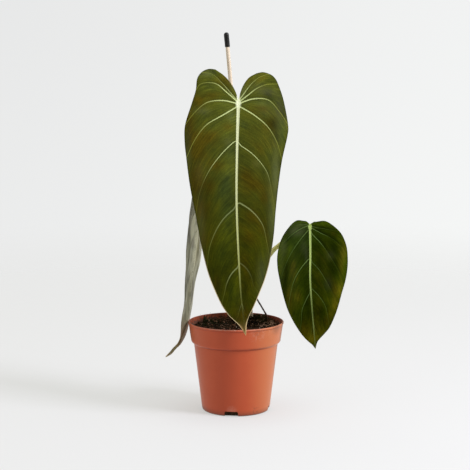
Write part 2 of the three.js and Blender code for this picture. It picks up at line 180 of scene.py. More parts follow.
class Value:
    """A socket of a finish. Arithmetic on it adds Math nodes to that finish."""

    def __init__(self, finish, socket):
        self.finish = finish
        self.socket = socket

    def maths(self, operation, *others):
        return self.finish.add(
            "ShaderNodeMath", {"operation": operation}, dict(enumerate((self, *others)))
        )

    def __add__(self, other):
        return self.maths("ADD", other)

    def __sub__(self, other):
        return self.maths("SUBTRACT", other)

    def __rsub__(self, other):
        return self.finish.add("ShaderNodeMath", {"operation": "SUBTRACT"}, {0: other, 1: self})

    def __mul__(self, other):
        return self.maths("MULTIPLY", other)

    __radd__ = __add__
    __rmul__ = __mul__

    def at_most(self, other):
        return self.maths("MINIMUM", other)

    def at_least(self, other):
        return self.maths("MAXIMUM", other)

    def within(self, low, high):
        return self.at_least(low).at_most(high)

    def size(self):
        return self.maths("ABSOLUTE")

    def fraction(self):
        return self.maths("FRACT")

    def rise(self, low, high):
        """0 below low, 1 above high and smooth between; it falls where low is above high"""
        if low > high:
            return 1 - self.rise(high, low)
        return self.finish.add(
            "ShaderNodeMapRange", {"interpolation_type": "SMOOTHSTEP"},
            {"Value": self, "From Min": low, "From Max": high},
        )


class Finish:
    """A node tree in the making: a surface or the backdrop"""

    def __init__(self, tree):
        self.tree = tree
        self.tree.nodes.clear()

    def add(self, kind, settings=None, inputs=None, output=0):
        """Adds a node: its settings first, then a value or a link for each socket named"""
        node = self.tree.nodes.new(kind)
        for key, setting in (settings or {}).items():
            setattr(node, key, setting)
        for key, given in (inputs or {}).items():
            if isinstance(given, Value):
                self.tree.links.new(given.socket, node.inputs[key])
            else:
                node.inputs[key].default_value = given
        return Value(self, node.outputs[output])

    def reading(self, name):
        """A number kept at each point of the mesh"""
        return self.add("ShaderNodeAttribute", {"attribute_name": name}, output="Fac")

    def place(self):
        """The place on the piece, in millimetres"""
        spot = self.add("ShaderNodeTexCoord", output="Object")
        return self.vectors("SCALE", spot, Scale=1 / MM)

    def vectors(self, operation, first, second=None, **inputs):
        sockets = {0: first, **inputs}
        if second is not None:
            sockets[1] = second
        output = "Value" if operation in ("DISTANCE", "LENGTH", "DOT_PRODUCT") else "Vector"
        return self.add("ShaderNodeVectorMath", {"operation": operation}, sockets, output)

    def parts(self, vector):
        return [self.add("ShaderNodeSeparateXYZ", None, {0: vector}, axis) for axis in "XYZ"]

    def vector(self, x=0, y=0, z=0):
        return self.add("ShaderNodeCombineXYZ", None, {"X": x, "Y": y, "Z": z})

    def noise(self, vector, scale, detail=3, roughness=0.55):
        """Smooth noise from 0 to 1"""
        return self.add(
            "ShaderNodeTexNoise", None,
            {"Vector": vector, "Scale": scale, "Detail": detail, "Roughness": roughness},
        )

    def cells(self, vector, scale):
        """The distance to the nearest of many scattered points"""
        return self.add("ShaderNodeTexVoronoi", None, {"Vector": vector, "Scale": scale}, "Distance")

    def mix(self, share, first, second):
        """The first colour where share is 0, the second where it is 1"""
        inputs = {0: share, 6: self.opaque(first), 7: self.opaque(second)}
        return self.add("ShaderNodeMix", {"data_type": "RGBA"}, inputs, output=2)

    def opaque(self, tint):
        return tint if isinstance(tint, Value) else (*tint, 1)

    def bump(self, height, distance, strength):
        inputs = {"Height": height, "Distance": distance * MM, "Strength": strength}
        return self.add("ShaderNodeBump", None, inputs)

    def surface(self, **inputs):
        named = {key.replace("_", " "): given for key, given in inputs.items()}
        if isinstance(named.get("Base Color"), tuple):
            named["Base Color"] = self.opaque(named["Base Color"])
        shader = self.add("ShaderNodeBsdfPrincipled", None, named)
        self.add_output(shader)

    def add_output(self, shader):
        output = self.tree.nodes.new("ShaderNodeOutputMaterial")
        self.tree.links.new(shader.socket, output.inputs["Surface"])


def new_finish(name):
    material = bpy.data.materials.new(name)
    material.use_nodes = True
    return material, Finish(material.node_tree)


# Meshes from lists of places

def make_piece(name, points, faces, materials, kinds=None, numbers=None, crease=None):
    """A smooth mesh object. kinds numbers each face's material, numbers are kept at each point."""
    mesh = bpy.data.meshes.new(name)
    mesh.from_pydata((np.asarray(points) * MM).tolist(), [], faces)
    for material in materials:
        mesh.materials.append(material)
    if kinds is not None:
        mesh.polygons.foreach_set("material_index", kinds)
    for key, values in (numbers or {}).items():
        mesh.attributes.new(key, "FLOAT", "POINT").data.foreach_set("value", np.asarray(values, "f"))
    mesh.shade_smooth()
    if crease is not None:
        mesh.set_sharp_from_angle(angle=math.radians(crease))
    mesh.update()
    piece = bpy.data.objects.new(name, mesh)
    bpy.context.scene.collection.objects.link(piece)
    return piece


def settle(piece, slot, *nodes):
    """The piece belongs to the plant's one body and stands for nodes, which are hidden; slot is not used"""
    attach(piece, BODY)
    if nodes:
        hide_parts(*nodes)


def lattice(rows, columns, round_it=False):
    """Four sided faces between the points of a grid, row by row"""
    faces = []
    for row in range(rows - 1):
        for column in range(columns if round_it else columns - 1):
            a = row * columns + column
            b = row * columns + (column + 1) % columns
            faces.append((a, b, b + columns, a + columns))
    return faces


def ringed_faces(rings, sides):
    """Faces of closed rings of points, and a fan at each end about the two points that follow"""
    faces = lattice(rings, sides, round_it=True)
    foot, head = rings * sides, rings * sides + 1
    last = (rings - 1) * sides
    for side in range(sides):
        after = (side + 1) % sides
        faces.append((foot, after, side))
        faces.append((head, last + side, last + after))
    return faces


def through(points, position):
    """A smooth curve through evenly numbered points, read at any numbers between them.
    points is a list of places, or of arrays with a place of its own for each reading."""
    position = np.clip(np.asarray(position, float), 0, len(points) - 1)
    points = np.asarray(points, float)
    if points.ndim == 2:
        points = np.broadcast_to(points.reshape(-1, *[1] * position.ndim, points.shape[1]),
                                 (len(points), *position.shape, points.shape[1]))
    longer = np.concatenate([2 * points[:1] - points[1:2], points, 2 * points[-1:] - points[-2:-1]])
    i = np.minimum(position.astype(int), len(points) - 2)
    t = (position - i)[..., None]
    before, start, to, after = (
        np.take_along_axis(longer, (i + n)[None, ..., None], axis=0)[0] for n in range(4)
    )
    leave = (to - before) / 2
    arrive = (after - start) / 2
    bend = 3 * (to - start) - 2 * leave - arrive
    return start + leave * t + bend * t**2 + (2 * (start - to) + leave + arrive) * t**3


def soft_patches(x, y, patches):
    """The sum of soft patches: each has its place in x and y, its two reaches and its strength"""
    amount = np.zeros(np.shape(x))
    for at_x, at_y, wide_x, wide_y, strength in patches:
        amount += strength * np.exp(-(((x - at_x) / wide_x) ** 2) - ((y - at_y) / wide_y) ** 2)
    return amount


def unit(vectors):
    return vectors / np.linalg.norm(vectors, axis=-1, keepdims=True)


class Path:
    """A smooth curve through points, read by its length"""

    def __init__(self, points, steps=120):
        self.points = points
        self.steps = steps
        self.curve = through(points, np.linspace(0, len(points) - 1, steps * (len(points) - 1) + 1))
        leaps = np.linalg.norm(np.diff(self.curve, axis=0), axis=1)
        self.lengths = np.concatenate([[0], np.cumsum(leaps)])
        self.total = self.lengths[-1]
        self.along = unit(np.gradient(self.curve, axis=0))

    def length_at(self, point_number):
        return self.lengths[self.steps * point_number]

    def read(self, length_along):
        """The place and the direction at each length"""
        reach = np.clip(length_along, 0, self.total)
        place = np.stack([np.interp(reach, self.lengths, c) for c in self.curve.T], -1)
        along = np.stack([np.interp(reach, self.lengths, c) for c in self.along.T], -1)
        return place, unit(along)


# Leaf forms, laid flat: x runs out from the midrib on either side and y from the stalk's top
# toward the tip. Veins are numbered from the notch to the tip. "start" is where each leaves the
# midrib, "inner" where it passes after a quarter, a half and three quarters of its way, and
# "edge" the margin at every vein and half way between two. A vein is as pale as its "vein_tint"
# at the midrib, and has lost the share "vein_fade" of that when it is "vein_reach" of its way out.
# These places were worked out from points on the photograph: "start" and "edge" from points read
# off it, and most of "inner" from the bright line that a program found beside them.

ADULT = {
    "half_width": 64,
    "left": {
        "start": [-1, 1, 2, 3.5, 6.2, 46.5, 129.5, 201.5, 247, 286.6],
        "inner": [
            [[4, -12.5], [10, -23], [18, -32]],
            [[9.5, -10], [20, -22.5], [31.5, -33.5]],
            [[13, -9.5], [28, -21.5], [45, -21.5]],
            [[19, 0], [38, 3], [52.5, 15.5]],
            [[19.5, 19], [38.5, 31.5], [52, 50.5]],
            [[18.5, 65.5], [34, 87.5], [44.5, 112]],
            [[16.5, 144], [28.5, 162.5], [36, 183]],
            [[9.5, 210], [16, 221], [20, 233]],
            [[2.5, 252], [4.5, 257], [6.5, 262]],
            [[0, 286.6], [0, 286.6], [0, 286.6]],
        ],
        "edge": [
            [28, -39.1], [36.5, -39.8], [44.8, -36.5], [50.3, -28.1], [51.9, -13], [56.4, 4],
            [63.9, 31], [63.9, 51], [61.3, 71.5], [56.6, 103], [49.9, 138], [45.2, 170],
            [38.5, 205.2], [31.7, 227.5], [24.6, 246.2], [17.4, 259.2], [11, 267.3], [5.8, 274],
            [0, 286.6],
        ],
        "vein_tint": [0, 0.5, 1, 0.95, 0.95, 0.8, 0.2, 0.26, 0.1, 0],
        "vein_fade": [0, 0.5, 0.6, 0.55, 0.5, 0.8, 0.4, 0.5, 0.7, 0],
        "vein_reach": [1, 0.7, 0.7, 0.7, 0.7, 0.7, 0.9, 0.7, 0.7, 1],
    },
    "right": {
        "start": [-1, 1, 2, 3.5, 6, 52, 122.5, 196.5, 247, 286.6],
        "inner": [
            [[2.5, -11], [6.5, -20.5], [13, -29]],
            [[7.5, -10], [15.5, -20.5], [25.5, -29]],
            [[11, -6.5], [22, -15], [34.5, -20]],
            [[18, -2.5], [36.5, -1.5], [50, 11.5]],
            [[19.5, 17], [37, 31.5], [48.5, 50.5]],
            [[21, 67], [37, 87.5], [43, 112.5]],
            [[18, 135], [30.5, 152], [35, 173.5]],
            [[8.5, 204.5], [14, 215], [16.5, 226.5]],
            [[1.2, 252], [2.2, 256.5], [3.5, 260]],
            [[0, 286.6], [0, 286.6], [0, 286.6]],
        ],
        "edge": [
            [22, -34.2], [30, -36.1], [38, -33.4], [43.7, -28.5], [48.2, -20.6], [55.2, -1],
            [61.1, 27], [60.6, 42], [54.7, 72], [51.2, 99], [46.8, 138], [43.5, 166],
            [37.8, 195.1], [30.7, 218], [22.2, 236.5], [13.9, 252.5], [6.9, 263.4], [2.6, 272.2],
            [0, 286.6],
        ],
        "vein_tint": [0, 0.7, 0.9, 1, 0.95, 0.8, 0.34, 0.09, 0.1, 0],
        "vein_fade": [0, 0.3, 0.5, 0.6, 0.5, 0.8, 0.4, 0.7, 0.7, 0],
        "vein_reach": [1, 0.7, 0.7, 0.7, 0.7, 0.7, 0.7, 0.7, 0.7, 1],
    },
    "fine_veins": [3, 4, 5, 7, 11, 15, 14, 9, 6],
    "vein_width": [0, 0.8, 0.92, 0.92, 0.88, 0.58, 0.9, 0.9, 0.4, 0],
    "rib_width": 1.35,
    "rib_flare": 0.5,
}

YOUNG = {
    "half_width": 46,
    "left": {
        "start": [-0.5, 0, 0.5, 4.5, 40.5, 83, 122, 154.7],
        "inner": [
            [[1.5, -1.6], [3.2, -3.2], [5, -4.2]],
            [[7, -0.5], [14, 0], [20.5, 1.5]],
            [[13, 6], [24.5, 14], [34.5, 24.5]],
            [[12.5, 19], [23, 34.5], [31, 52]],
            [[11, 54], [20, 69], [25.5, 85.5]],
            [[7, 94], [12.5, 105.5], [14.5, 118.5]],
            [[1.6, 127.5], [3, 133], [4.5, 138.5]],
            [[0, 154.7], [0, 154.7], [0, 154.7]],
        ],
        "edge": [
            [7, -4.3], [17, -4.7], [27, 4], [36.2, 18.6], [40.7, 37], [40.5, 53.2], [37.3, 70.2],
            [33.9, 87.8], [30.2, 103.7], [24.4, 118.5], [17.5, 131.9], [12.3, 139.7], [7.4, 145.4],
            [3.2, 149.5], [0, 154.7],
        ],
        "vein_tint": [0, 0.55, 1, 0.75, 0.95, 0.6, 0.2, 0],
        "vein_fade": [0, 0.6, 0.6, 0.1, 0.2, 0.1, 0.4, 0],
        "vein_reach": [1, 0.9, 0.9, 0.9, 0.9, 0.9, 0.9, 1],
    },
    "right": {
        "start": [-0.5, 1.5, 3.2, 9.5, 44.5, 78, 122, 154.7],
        "inner": [
            [[1.5, -1.5], [3.5, -2.5], [5, -3.5]],
            [[9, 4], [18, 5.5], [27, 7.5]],
            [[13.5, 11], [27, 18], [39, 28.5]],
            [[13, 23.5], [24.5, 39], [34.5, 55.5]],
            [[11.5, 56.5], [20, 71.5], [27, 87.5]],
            [[9, 88.5], [16, 101], [18.5, 114.5]],
            [[1.3, 126.5], [2.5, 131], [3.6, 136]],
            [[0, 154.7], [0, 154.7], [0, 154.7]],
        ],
        "edge": [
            [7, -3.4], [20.5, -3.6], [36.8, 9.4], [44.5, 24.8], [46.6, 41], [46, 57], [43.2, 73.2],
            [37.5, 90.2], [32.2, 104.6], [26.2, 117.9], [19.3, 129.9], [12.3, 137.2], [6.6, 142.2],
            [2.5, 146.9], [0, 154.7],
        ],
        "vein_tint": [0, 0.5, 0.95, 1, 0.4, 0.5, 0.15, 0],
        "vein_fade": [0, 0.6, 0.85, 0.8, 0.6, 0.2, 0.4, 0],
        "vein_reach": [1, 0.9, 0.45, 0.4, 0.8, 0.9, 0.9, 1],
    },
    "fine_veins": [3, 4, 7, 9, 9, 7, 5],
    "vein_width": [0, 0.55, 0.62, 0.62, 0.62, 0.55, 0.45, 0],
    "rib_width": 1.05,
    "rib_flare": 0.2,
}

# Each blade hangs along a path: behind the lobes, the stalk's top, then on to the tip. "facing"
# is the way the upper side looks at both ends. fold, roll, quilt, wave and lobe shape it across.
# gold, light, shade and gleam are soft patches on the flat blade: x with the left side negative,
# y, reach across, reach along, and strength. Gold below zero is greener. The paths, and most
# patches of the front and right leaves, were worked out by program from such points too.

# The light and shade patches are partly the blade's own paler and darker tone and partly painted light and
# painted shade of its folds, swells and rolled margins. The gleam patches are a painted sheen of the velvet.
LEAVES = {
    "front": {
        "form": ADULT,
        "scale": 1,
        "path": [
            [3, -13.5, 429.7], [3, -22, 389.7], [1.4, -36, 330.7], [0.8, -48, 271.2],
            [2.9, -58, 211.2], [6.6, -66, 153.7], [12.2, -77, 109.2],
        ],
        "facing": [[0, -1, 0], [0, -1, 0]],
        "fold": 0.16, "roll": 0.16, "quilt": 0.9, "wave": 2, "lobe": 0.0035,
        "phase": {"left": 0.3, "right": 0.9},
        "gold": [
            (-32, -6, 10, 5, 0.7), (-48, 2, 7, 9, 0.8), (-15, -26, 9, 11, 0.9), (-60, 28, 5, 12, 0.8),
            (-54, 50, 7, 12, 0.6), (-36, 47, 14, 10, 1), (-12, 32, 7, 5, 0.6), (-46, 65, 10, 11, 0.9),
            (-49, 97, 6, 16, 1), (-25, 80, 10, 7, 0.8), (-33, 105, 9, 11, 1), (-39, 131, 9, 15, 0.7),
            (-41, 169, 5, 15, 0.7), (-30, 168, 7, 17, 0.45), (-28, 221, 6, 12, 0.7),
            (-22, 147, 6, 10, 0.25), (29, 9, 10, 5, 0.7), (41, 26, 6, 7, 0.6), (32, 30, 5, 6, 0.4),
            (12, 92, 10, 10, 0.85), (24, 104, 10, 7, 1), (33, 118, 7, 9, 0.9), (18, 143, 12, 10, 0.7),
            (30, 156, 7, 10, 0.5), (12, 170, 10, 10, 0.6), (10, 221, 6, 15, 0.5),
            (6, 197, 6, 10, 0.5), (36, 169, 4, 12, 0.3), (30, 58, 7, 10, 0.25), (14, -26, 7, 6, 0.4),
            (29, -30, 10, 5, 0.35), (-2, 269, 7, 7, 0.6), (-32, -15, 11, 4, -0.3),
            (-19, 5, 12, 4, -0.4), (-7, 18, 5, 9, -0.4), (-11, 97, 7, 15, -0.6),
            (-18, 113, 10, 9, -0.5), (-11, 139, 6, 12, -0.5), (-21, 189, 6, 12, -0.4),
            (-11, 232, 5, 15, -0.7), (6, 30, 6, 5, -0.4), (29, 3, 10, 4, -0.5), (54, 37, 5, 19, -0.5),
            (47, 84, 5, 22, -0.6), (42, 153, 4, 25, -0.6), (28, 211, 5, 15, -0.7),
            (-8, 62, 5, 10, -0.4), (-56, 25, 9, 45, 0.5), (-48, 115, 8, 45, 0.5),
            (-9, 60, 9, 60, -0.2), (-13, 155, 11, 55, -0.6), (16, 60, 14, 50, 0.2),
            (13, 150, 12, 50, 0.2), (0, 268, 16, 16, 0.8), (35, 35, 18, 18, 0.3), (8, 268, 14, 14, 0.5),
            (-32, -36, 9, 5, -0.5),
        ],
        "light": [
            (-39, -35, 9, 4, 0.8), (-32, -17, 11, 5, 0.2), (-43, 13, 9, 4, 0.4), (-9, 19, 5, 9, 0.3),
            (-7, 67, 5, 11, 0.3), (-13, 109, 7, 10, 0.15), (44, -13, 4, 6, 0.5), (24, 4, 11, 4, 0.3),
            (4, -11, 4, 11, 0.5), (29, -28, 11, 5, 0.4), (53, 32, 5, 15, 0.6), (52, 58, 5, 12, 0.4),
            (48, 87, 4, 20, 0.5), (44, 141, 4, 25, 0.6), (30, 193, 5, 12, 0.4), (23, 220, 5, 12, 0.3),
            (25, 76, 6, 4, 0.3), (12, 92, 10, 10, 0.1), (30, 114, 9, 10, 0.25), (32, 33, 6, 6, 0.2),
            (6, 109, 4, 25, 0.2), (16, 161, 12, 15, 0.15),
            (-45, 145, 6, 34, 0.9), (22, 125, 18, 45, 0.3), (41, 165, 5, 50, 0.5), (0, 262, 20, 14, 0.5),
            (-4, 222, 5, 20, 0.6), (33, 195, 4, 25, 0.5), (-6, 130, 7, 22, 0.35),
            (16, 229, 9, 10, 0.4), (5, 6, 6, 10, 0.4),
        ],
        "shade": [
            (38, -9, 7, 4, 0.6), (51, 7, 5, 10, 0.55), (56, 16, 4, 7, 0.4), (42, 28, 6, 9, 0.75),
            (48, 44, 4, 9, 0.4), (-10, -18, 6, 10, 0.4), (-55, 0, 4, 9, 0.5), (-51, -16, 4, 9, 0.4),
            (-61, 49, 4, 25, 0.45), (-55, 98, 4, 25, 0.45), (-46, 119, 6, 20, 0.35),
            (-35, 205, 5, 20, 0.5), (-28, 228, 5, 17, 0.4),
            (37, 150, 4, 20, 0.25), (38, 129, 5, 12, 0.25), (5, 229, 4, 12, 0.5),
            (-38, 145, 8, 12, 0.35), (21, 187, 4, 10, 0.25),
            (28, 202, 4, 7, 0.25), (17, 222, 3, 12, 0.35), (-16, 183, 4, 15, 0.2),
            (-25, 207, 4, 12, 0.2), (-14, 223, 4, 17, 0.3), (-3, 250, 6, 10, 0.4),
            (-9, 263, 5, 7, 0.4), (-31, 17, 6, 5, 0.35), (-46, 28, 6, 6, 0.2), (31, 85, 6, 12, 0.2),
            (38, 103, 5, 12, 0.25), (-35, -12, 16, 18, 0.25), (-30, 60, 22, 10, 0.2),
            (50, 20, 8, 45, 0.35), (-20, 205, 12, 20, 0.25), (34, -7, 9, 5, 0.4), (56, 15, 4, 14, 0.4),
        ],
        "gleam": [
            (-39, -35, 9, 4, 0.8), (-43, 14, 9, 4, 0.6), (-9, 19, 5, 7, 0.4), (-11, 51, 5, 5, 0.4),
            (5, -12, 4, 11, 0.7), (24, -16, 10, 7, 0.4), (36, -11, 9, 5, 0.6), (29, 4, 10, 4, 0.3),
            (48, 90, 4, 20, 0.4), (42, 153, 4, 20, 0.3), (28, 211, 6, 17, 0.5), (24, 77, 5, 4, 0.3),
            (37, 197, 4, 12, 0.4), (-45, 89, 6, 12, 0.2), (-60, 61, 4, 25, 0.3), (34, 13, 10, 6, 0.3),
            (51, 10, 5, 12, 0.2), (50, 30, 6, 60, 0.2), (-44, 150, 5, 30, 0.4), (41, 165, 5, 60, 0.3),
            (0, 20, 50, 50, 0.04), (26, 238, 6, 22, 0.3), (47, 100, 5, 50, 0.3),
        ],
    },
    "right": {
        "form": YOUNG,
        "scale": 1,
        "path": [
            [92.2, 0, 248.2], [92.1, -4, 235.5], [92.5, -10, 204.4], [92.3, -16, 167.7],
            [94.7, -22, 130.7], [98.7, -31, 83.4],
        ],
        "facing": [[0, -1, 0], [0, -1, 0]],
        "fold": 0.14, "roll": 0.2, "quilt": 1.1, "wave": 1.4, "lobe": 0.02,
        "phase": {"left": 0.5, "right": 0.1},
        "gold": [
            (38, 50, 4, 20, 0.5), (36, 87, 4, 11, 0.6), (29, 102, 5, 10, 1), (30, 83, 4, 8, 0.8),
            (23, 115, 5, 8, 0.6), (-27, 88, 5, 11, 0.9), (-21, 55, 5, 14, 0.7), (-16, 89, 4, 9, 0.6),
            (-11, 131, 6, 8, 0.7), (-3, 142, 6, 6, 0.8), (16, 122, 4, 6, 0.6), (7, 105, 5, 11, 0.4),
            (28, 11, 5, 5, 0.4), (20, 20, 6, 8, 0.35), (34, 23, 4, 10, 0.3), (10, 134, 5, 5, 0.4),
            (-29, 106, 6, 13, 0.4), (9, 70, 5, 10, 0.25), (42, 32, 4, 13, 0.6), (-16, 25, 15, 30, -0.6),
            (-5, 50, 5, 60, -0.4), (12, 50, 14, 45, 0.1), (0, 132, 22, 18, 0.5), (0, 16, 36, 14, -0.5),
        ],
        "light": [
            (-25, 34, 5, 13, 0.9), (-16, 8, 10, 8, 0.5), (-33, 25, 4, 10, 0.4), (-36, 48, 4, 15, 0.3),
            (-12, -3, 10, 4, 0.5), (22, 1, 11, 4, 0.5), (34, 23, 4, 9, 0.6), (41, 54, 4, 18, 0.9),
            (35, 86, 4, 10, 1.2), (29, 102, 4, 9, 1), (23, 115, 4, 5, 0.7), (-17, 63, 4, 10, 0.3),
            (-22, 84, 4, 10, 0.4), (-5, 47, 4, 10, 0.2), (17, 95, 5, 10, 0.3), (21, 67, 4, 8, 0.15),
            (32, 64, 4, 4, 0.2), (4, 44, 4, 38, 0.1), (-10, 106, 4, 10, 0.2),
            (-38, 42, 5, 38, 1), (43, 45, 4, 40, 0.6), (0, 142, 12, 9, 0.8), (-16, -3, 14, 5, 0.8),
            (16, -2, 16, 5, 0.9), (-36, 8, 6, 12, 0.5), (4, 18, 4, 8, 0.5), (5, 44, 4, 10, 0.4),
            (-38, 80, 4, 30, 0.4), (37, 75, 4, 25, 0.3), (24, 106, 6, 10, 0.4),
        ],
        "shade": [
            (-12, 32, 6, 9, 0.3), (-30, 60, 2, 15, 0.5), (28, 54, 6, 15, 0.25), (24, 76, 8, 10, 0.4),
            (9, 32, 6, 13, 0.4), (12, 47, 6, 10, 0.3), (10, 5, 8, 4, 0.5), (-7, 11, 4, 5, 0.4),
            (30, 12, 5, 5, 0.4), (43, 20, 2, 13, 0.4), (16, 122, 4, 6, 0.4), (-4, 94, 4, 13, 0.3),
            (9, 76, 6, 15, 0.3), (12, 109, 6, 10, 0.3), (-17, 130, 4, 10, 0.2), (-7, 131, 4, 8, 0.2),
            (-33, 76, 2, 10, 0.3), (19, 38, 20, 44, 0.35),
            (-5, 60, 5, 55, 0.5), (26, 55, 9, 40, 0.35), (8, 110, 7, 22, 0.5), (-10, 115, 8, 12, 0.3),
            (20, 8, 8, 8, 0.3), (32, 24, 8, 12, 0.5), (24, 66, 10, 12, 0.1), (-4, 112, 4, 12, 0.5),
        ],
        "gleam": [
            (-17, 8, 10, 6, 0.9), (-33, 27, 4, 10, 0.5), (-9, 27, 4, 10, 0.3), (-12, 0, 10, 2, 0.4),
            (-5, 38, 2, 13, 0.3), (22, 75, 5, 8, 0.2), (25, 38, 5, 5, 0.25), (-22, 45, 8, 45, 0.12),
            (-36, 40, 4, 40, 0.3),
        ],
    },
    "left": {
        "form": ADULT,
        "scale": 0.725,
        "path": [
            [-40.6, 14, 293.7], [-43, 13, 264.2], [-48.2, 12, 236.7], [-52.4, 10, 188.7],
            [-56.6, 9, 162.2], [-58, 7, 135.7], [-62.2, 4, 110.7], [-68.5, 1, 90.7],
            [-75.3, -2, 79.2], [-89.1, -6, 67.9],
        ],
        "facing": [[-0.969, 0.245, 0], [-0.992, 0.125, 0]],
        "fold": 0.08, "roll": 0.05, "quilt": 1, "wave": 1.3, "lobe": 0.004,
        "phase": {"left": 0.8, "right": 0.2},
        "gold": [
            (-21, 62, 6, 34, 1), (-14, 100, 6, 30, 0.8), (8, 118, 5, 26, 0.6), (2, 165, 20, 22, 0.4),
            (0, 190, 20, 12, 1),
        ],
        "light": [
            (-12, 30, 10, 24, 1), (-26, 30, 9, 16, 0.8), (3, 50, 5, 20, 1), (20, 40, 7, 24, 0.9),
            (12, 25, 8, 12, 0.7), (-36, 58, 3, 9, 0.5), (35, 74, 3, 14, 1.3), (-42, 55, 3, 30, 0.9),
            (8, 92, 5, 12, 0.5), (-7, 106, 3, 7, 0.6), (22, 128, 7, 8, 0.6), (-26, 125, 4, 12, 0.7),
            (-14, 158, 9, 10, 1.3), (9, 166, 6, 18, 0.9), (24, 142, 3, 9, 1), (2, 74, 4, 12, 0.5),
        ],
        "shade": [
            (38, 22, 6, 16, 0.9), (34, 42, 8, 12, 1.1), (13, 58, 7, 14, 0.8), (-29, 58, 3, 10, 0.9),
            (-33, 76, 4, 8, 1), (-21, 80, 4, 16, 1), (-15, 92, 6, 14, 1.1), (-8, 92, 3, 8, 0.7),
            (25, 78, 5, 14, 0.9), (-24, 108, 6, 11, 1.3), (-15, 110, 4, 12, 1.2), (4, 112, 5, 14, 0.5),
            (25, 108, 2.5, 8, 1.3), (30, 108, 3, 9, 1.2), (-18, 126, 5, 11, 1), (-10, 126, 6, 12, 1),
            (0, 126, 6, 12, 0.7), (10, 122, 4, 10, 0.5), (5, 142, 4, 9, 0.5), (18, 142, 4, 9, 0.9),
            (-4, 156, 4, 10, 0.8), (1, 176, 3, 9, 0.7), (14, 158, 3, 7, 0.5),
        ],
        "gleam": [],
    },
}

RIB_HEIGHT = 2.2
RIB_SHARE = 0.06
VEIN_HEIGHT = 0.6
EDGE_BULGE = 0.18


def last_vein(form):
    """The number of the last vein, which is the tip itself"""
    return len(form["left"]["start"]) - 1


def tip_distance(leaf):
    """From the stalk's top to the tip"""
    return leaf["form"]["left"]["start"][-1] * leaf["scale"]


def flat_place(form, scale, side, q, v):
    """A place on the flat leaf: on vein number q, v of the way from the midrib to the margin.
    Both sides meet at the midrib, and each vein's own start is reached beside it."""
    half = form[side]
    numbers = np.arange(len(half["start"]))
    own = np.interp(q, numbers, half["start"])
    left, right = (np.interp(q, numbers, form[each]["start"]) for each in ("left", "right"))
    shared = (left + right) / 2
    stations = [np.stack([np.zeros_like(q), own], -1)]
    inner = np.array(half["inner"])
    stations += [through(inner[:, quarter], q) for quarter in range(3)]
    stations.append(through(half["edge"], 2 * q))
    place = through(stations, 4 * v)
    place[..., 1] += (shared - own) * np.clip(1 - v / 0.05, 0, 1)
    return place * scale


def relief(leaf, side, q, v, x, y):
    """Height over the leaf's path: rising halves that roll back, swells, waves and lobes"""
    width = leaf["form"]["half_width"] * leaf["scale"]
    across = leaf["fold"] * x - leaf["roll"] * width * (x / width) ** 2
    swell = np.abs(np.sin(np.pi * q)) ** 0.8 * np.sin(np.pi * v**0.7)
    wave = v**3 * np.sin(np.pi * (q + leaf["phase"][side]))
    return across + leaf["quilt"] * swell + leaf["wave"] * wave - leaf["lobe"] * np.minimum(y, 0) ** 2


def nearest_on(line, places):
    """The distance from each place to a line of points, and the share along it that is nearest"""
    start, stop = line[:-1], line[1:]
    step = stop - start
    reach = np.einsum("psn,sn->ps", places[:, None] - start, step) / (step**2).sum(1)
    reach = np.clip(reach, 0, 1)
    gap = np.linalg.norm(places[:, None] - start - reach[..., None] * step, axis=2)
    best = gap.argmin(1)
    each = np.arange(len(places))
    return gap[each, best], (best + reach[each, best]) / len(step)


def side_vein(form, scale, side, number):
    v = np.linspace(0, 1, 36)
    return flat_place(form, scale, side, np.full_like(v, number), v)


def blade_rows(form):
    """Rows of points along the leaf, closer together at each vein"""
    near = np.array([0, 0.008, 0.02, 0.04, 0.075, 0.12, 0.18, 0.26, 0.34, 0.42])
    inside = np.concatenate([near, [0.5], 1 - near[:0:-1]])
    return np.concatenate([number + inside for number in range(last_vein(form))])


def blade_columns(count):
    """Columns from the midrib to the margin, closer together at both"""
    even = np.linspace(0, 1, count)
    return even - 0.9 * np.sin(2 * np.pi * even) / (2 * np.pi)


def smooth_step(values, low, high):
    """0 below low, 1 above high and smooth between"""
    t = np.clip((values - low) / (high - low), 0, 1)
    return t * t * (3 - 2 * t)


def vein_readings(form, scale, places, sides):
    """For each place: how many half widths it is from the nearest vein, and how pale that is"""
    share = np.full(len(places), 20.0)
    tint = np.zeros(len(places))
    bare = np.full(len(places), 50.0)
    for side, sign in (("left", -1), ("right", 1)):
        here = np.flatnonzero(sides == sign)
        own = places[here]
        for number in range(1, last_vein(form)):
            gap, out = nearest_on(side_vein(form, scale, side, number), own)
            half = form["vein_width"][number] * scale * (1 - 0.5 * out) + 0.05
            nearer = gap / half < share[here]
            share[here] = np.where(nearer, gap / half, share[here])
            faded = smooth_step(out / form[side]["vein_reach"][number], 0.35, 1)
            pale = form[side]["vein_tint"][number] * (1 - form[side]["vein_fade"][number] * faded)
            tint[here] = np.where(nearer, pale, tint[here])
            bare[here] = np.minimum(bare[here], gap)
    return share, tint, bare


def blade_grid(leaf, columns):
    """Every grid point of a blade, side by side from the left margin to the right one"""
    form, scale = leaf["form"], leaf["scale"]
    v = blade_columns(columns)
    q = blade_rows(form)
    halves = []
    for side, sign, own in (("left", -1, v[:0:-1]), ("right", 1, v)):
        qq, vv = np.meshgrid(q, own, indexing="ij")
        flat = flat_place(form, scale, side, qq, vv)
        height = relief(leaf, side, qq, vv, flat[..., 0], flat[..., 1])
        halves.append([qq, vv, flat[..., 0] * sign, flat[..., 1], height, np.full_like(qq, sign)])
    wide = [np.concatenate(pair, axis=1) for pair in zip(*halves)]
    last_wave = leaf["wave"] * math.sin(math.pi * (last_vein(form) + leaf["phase"]["right"]))
    tip = [last_vein(form), 1, 0, tip_distance(leaf), last_wave, 1]
    columns_wide = wide[0].shape[1]
    flat_lists = [np.append(grid.ravel(), end) for grid, end in zip(wide, tip)]
    return flat_lists, len(q), columns_wide


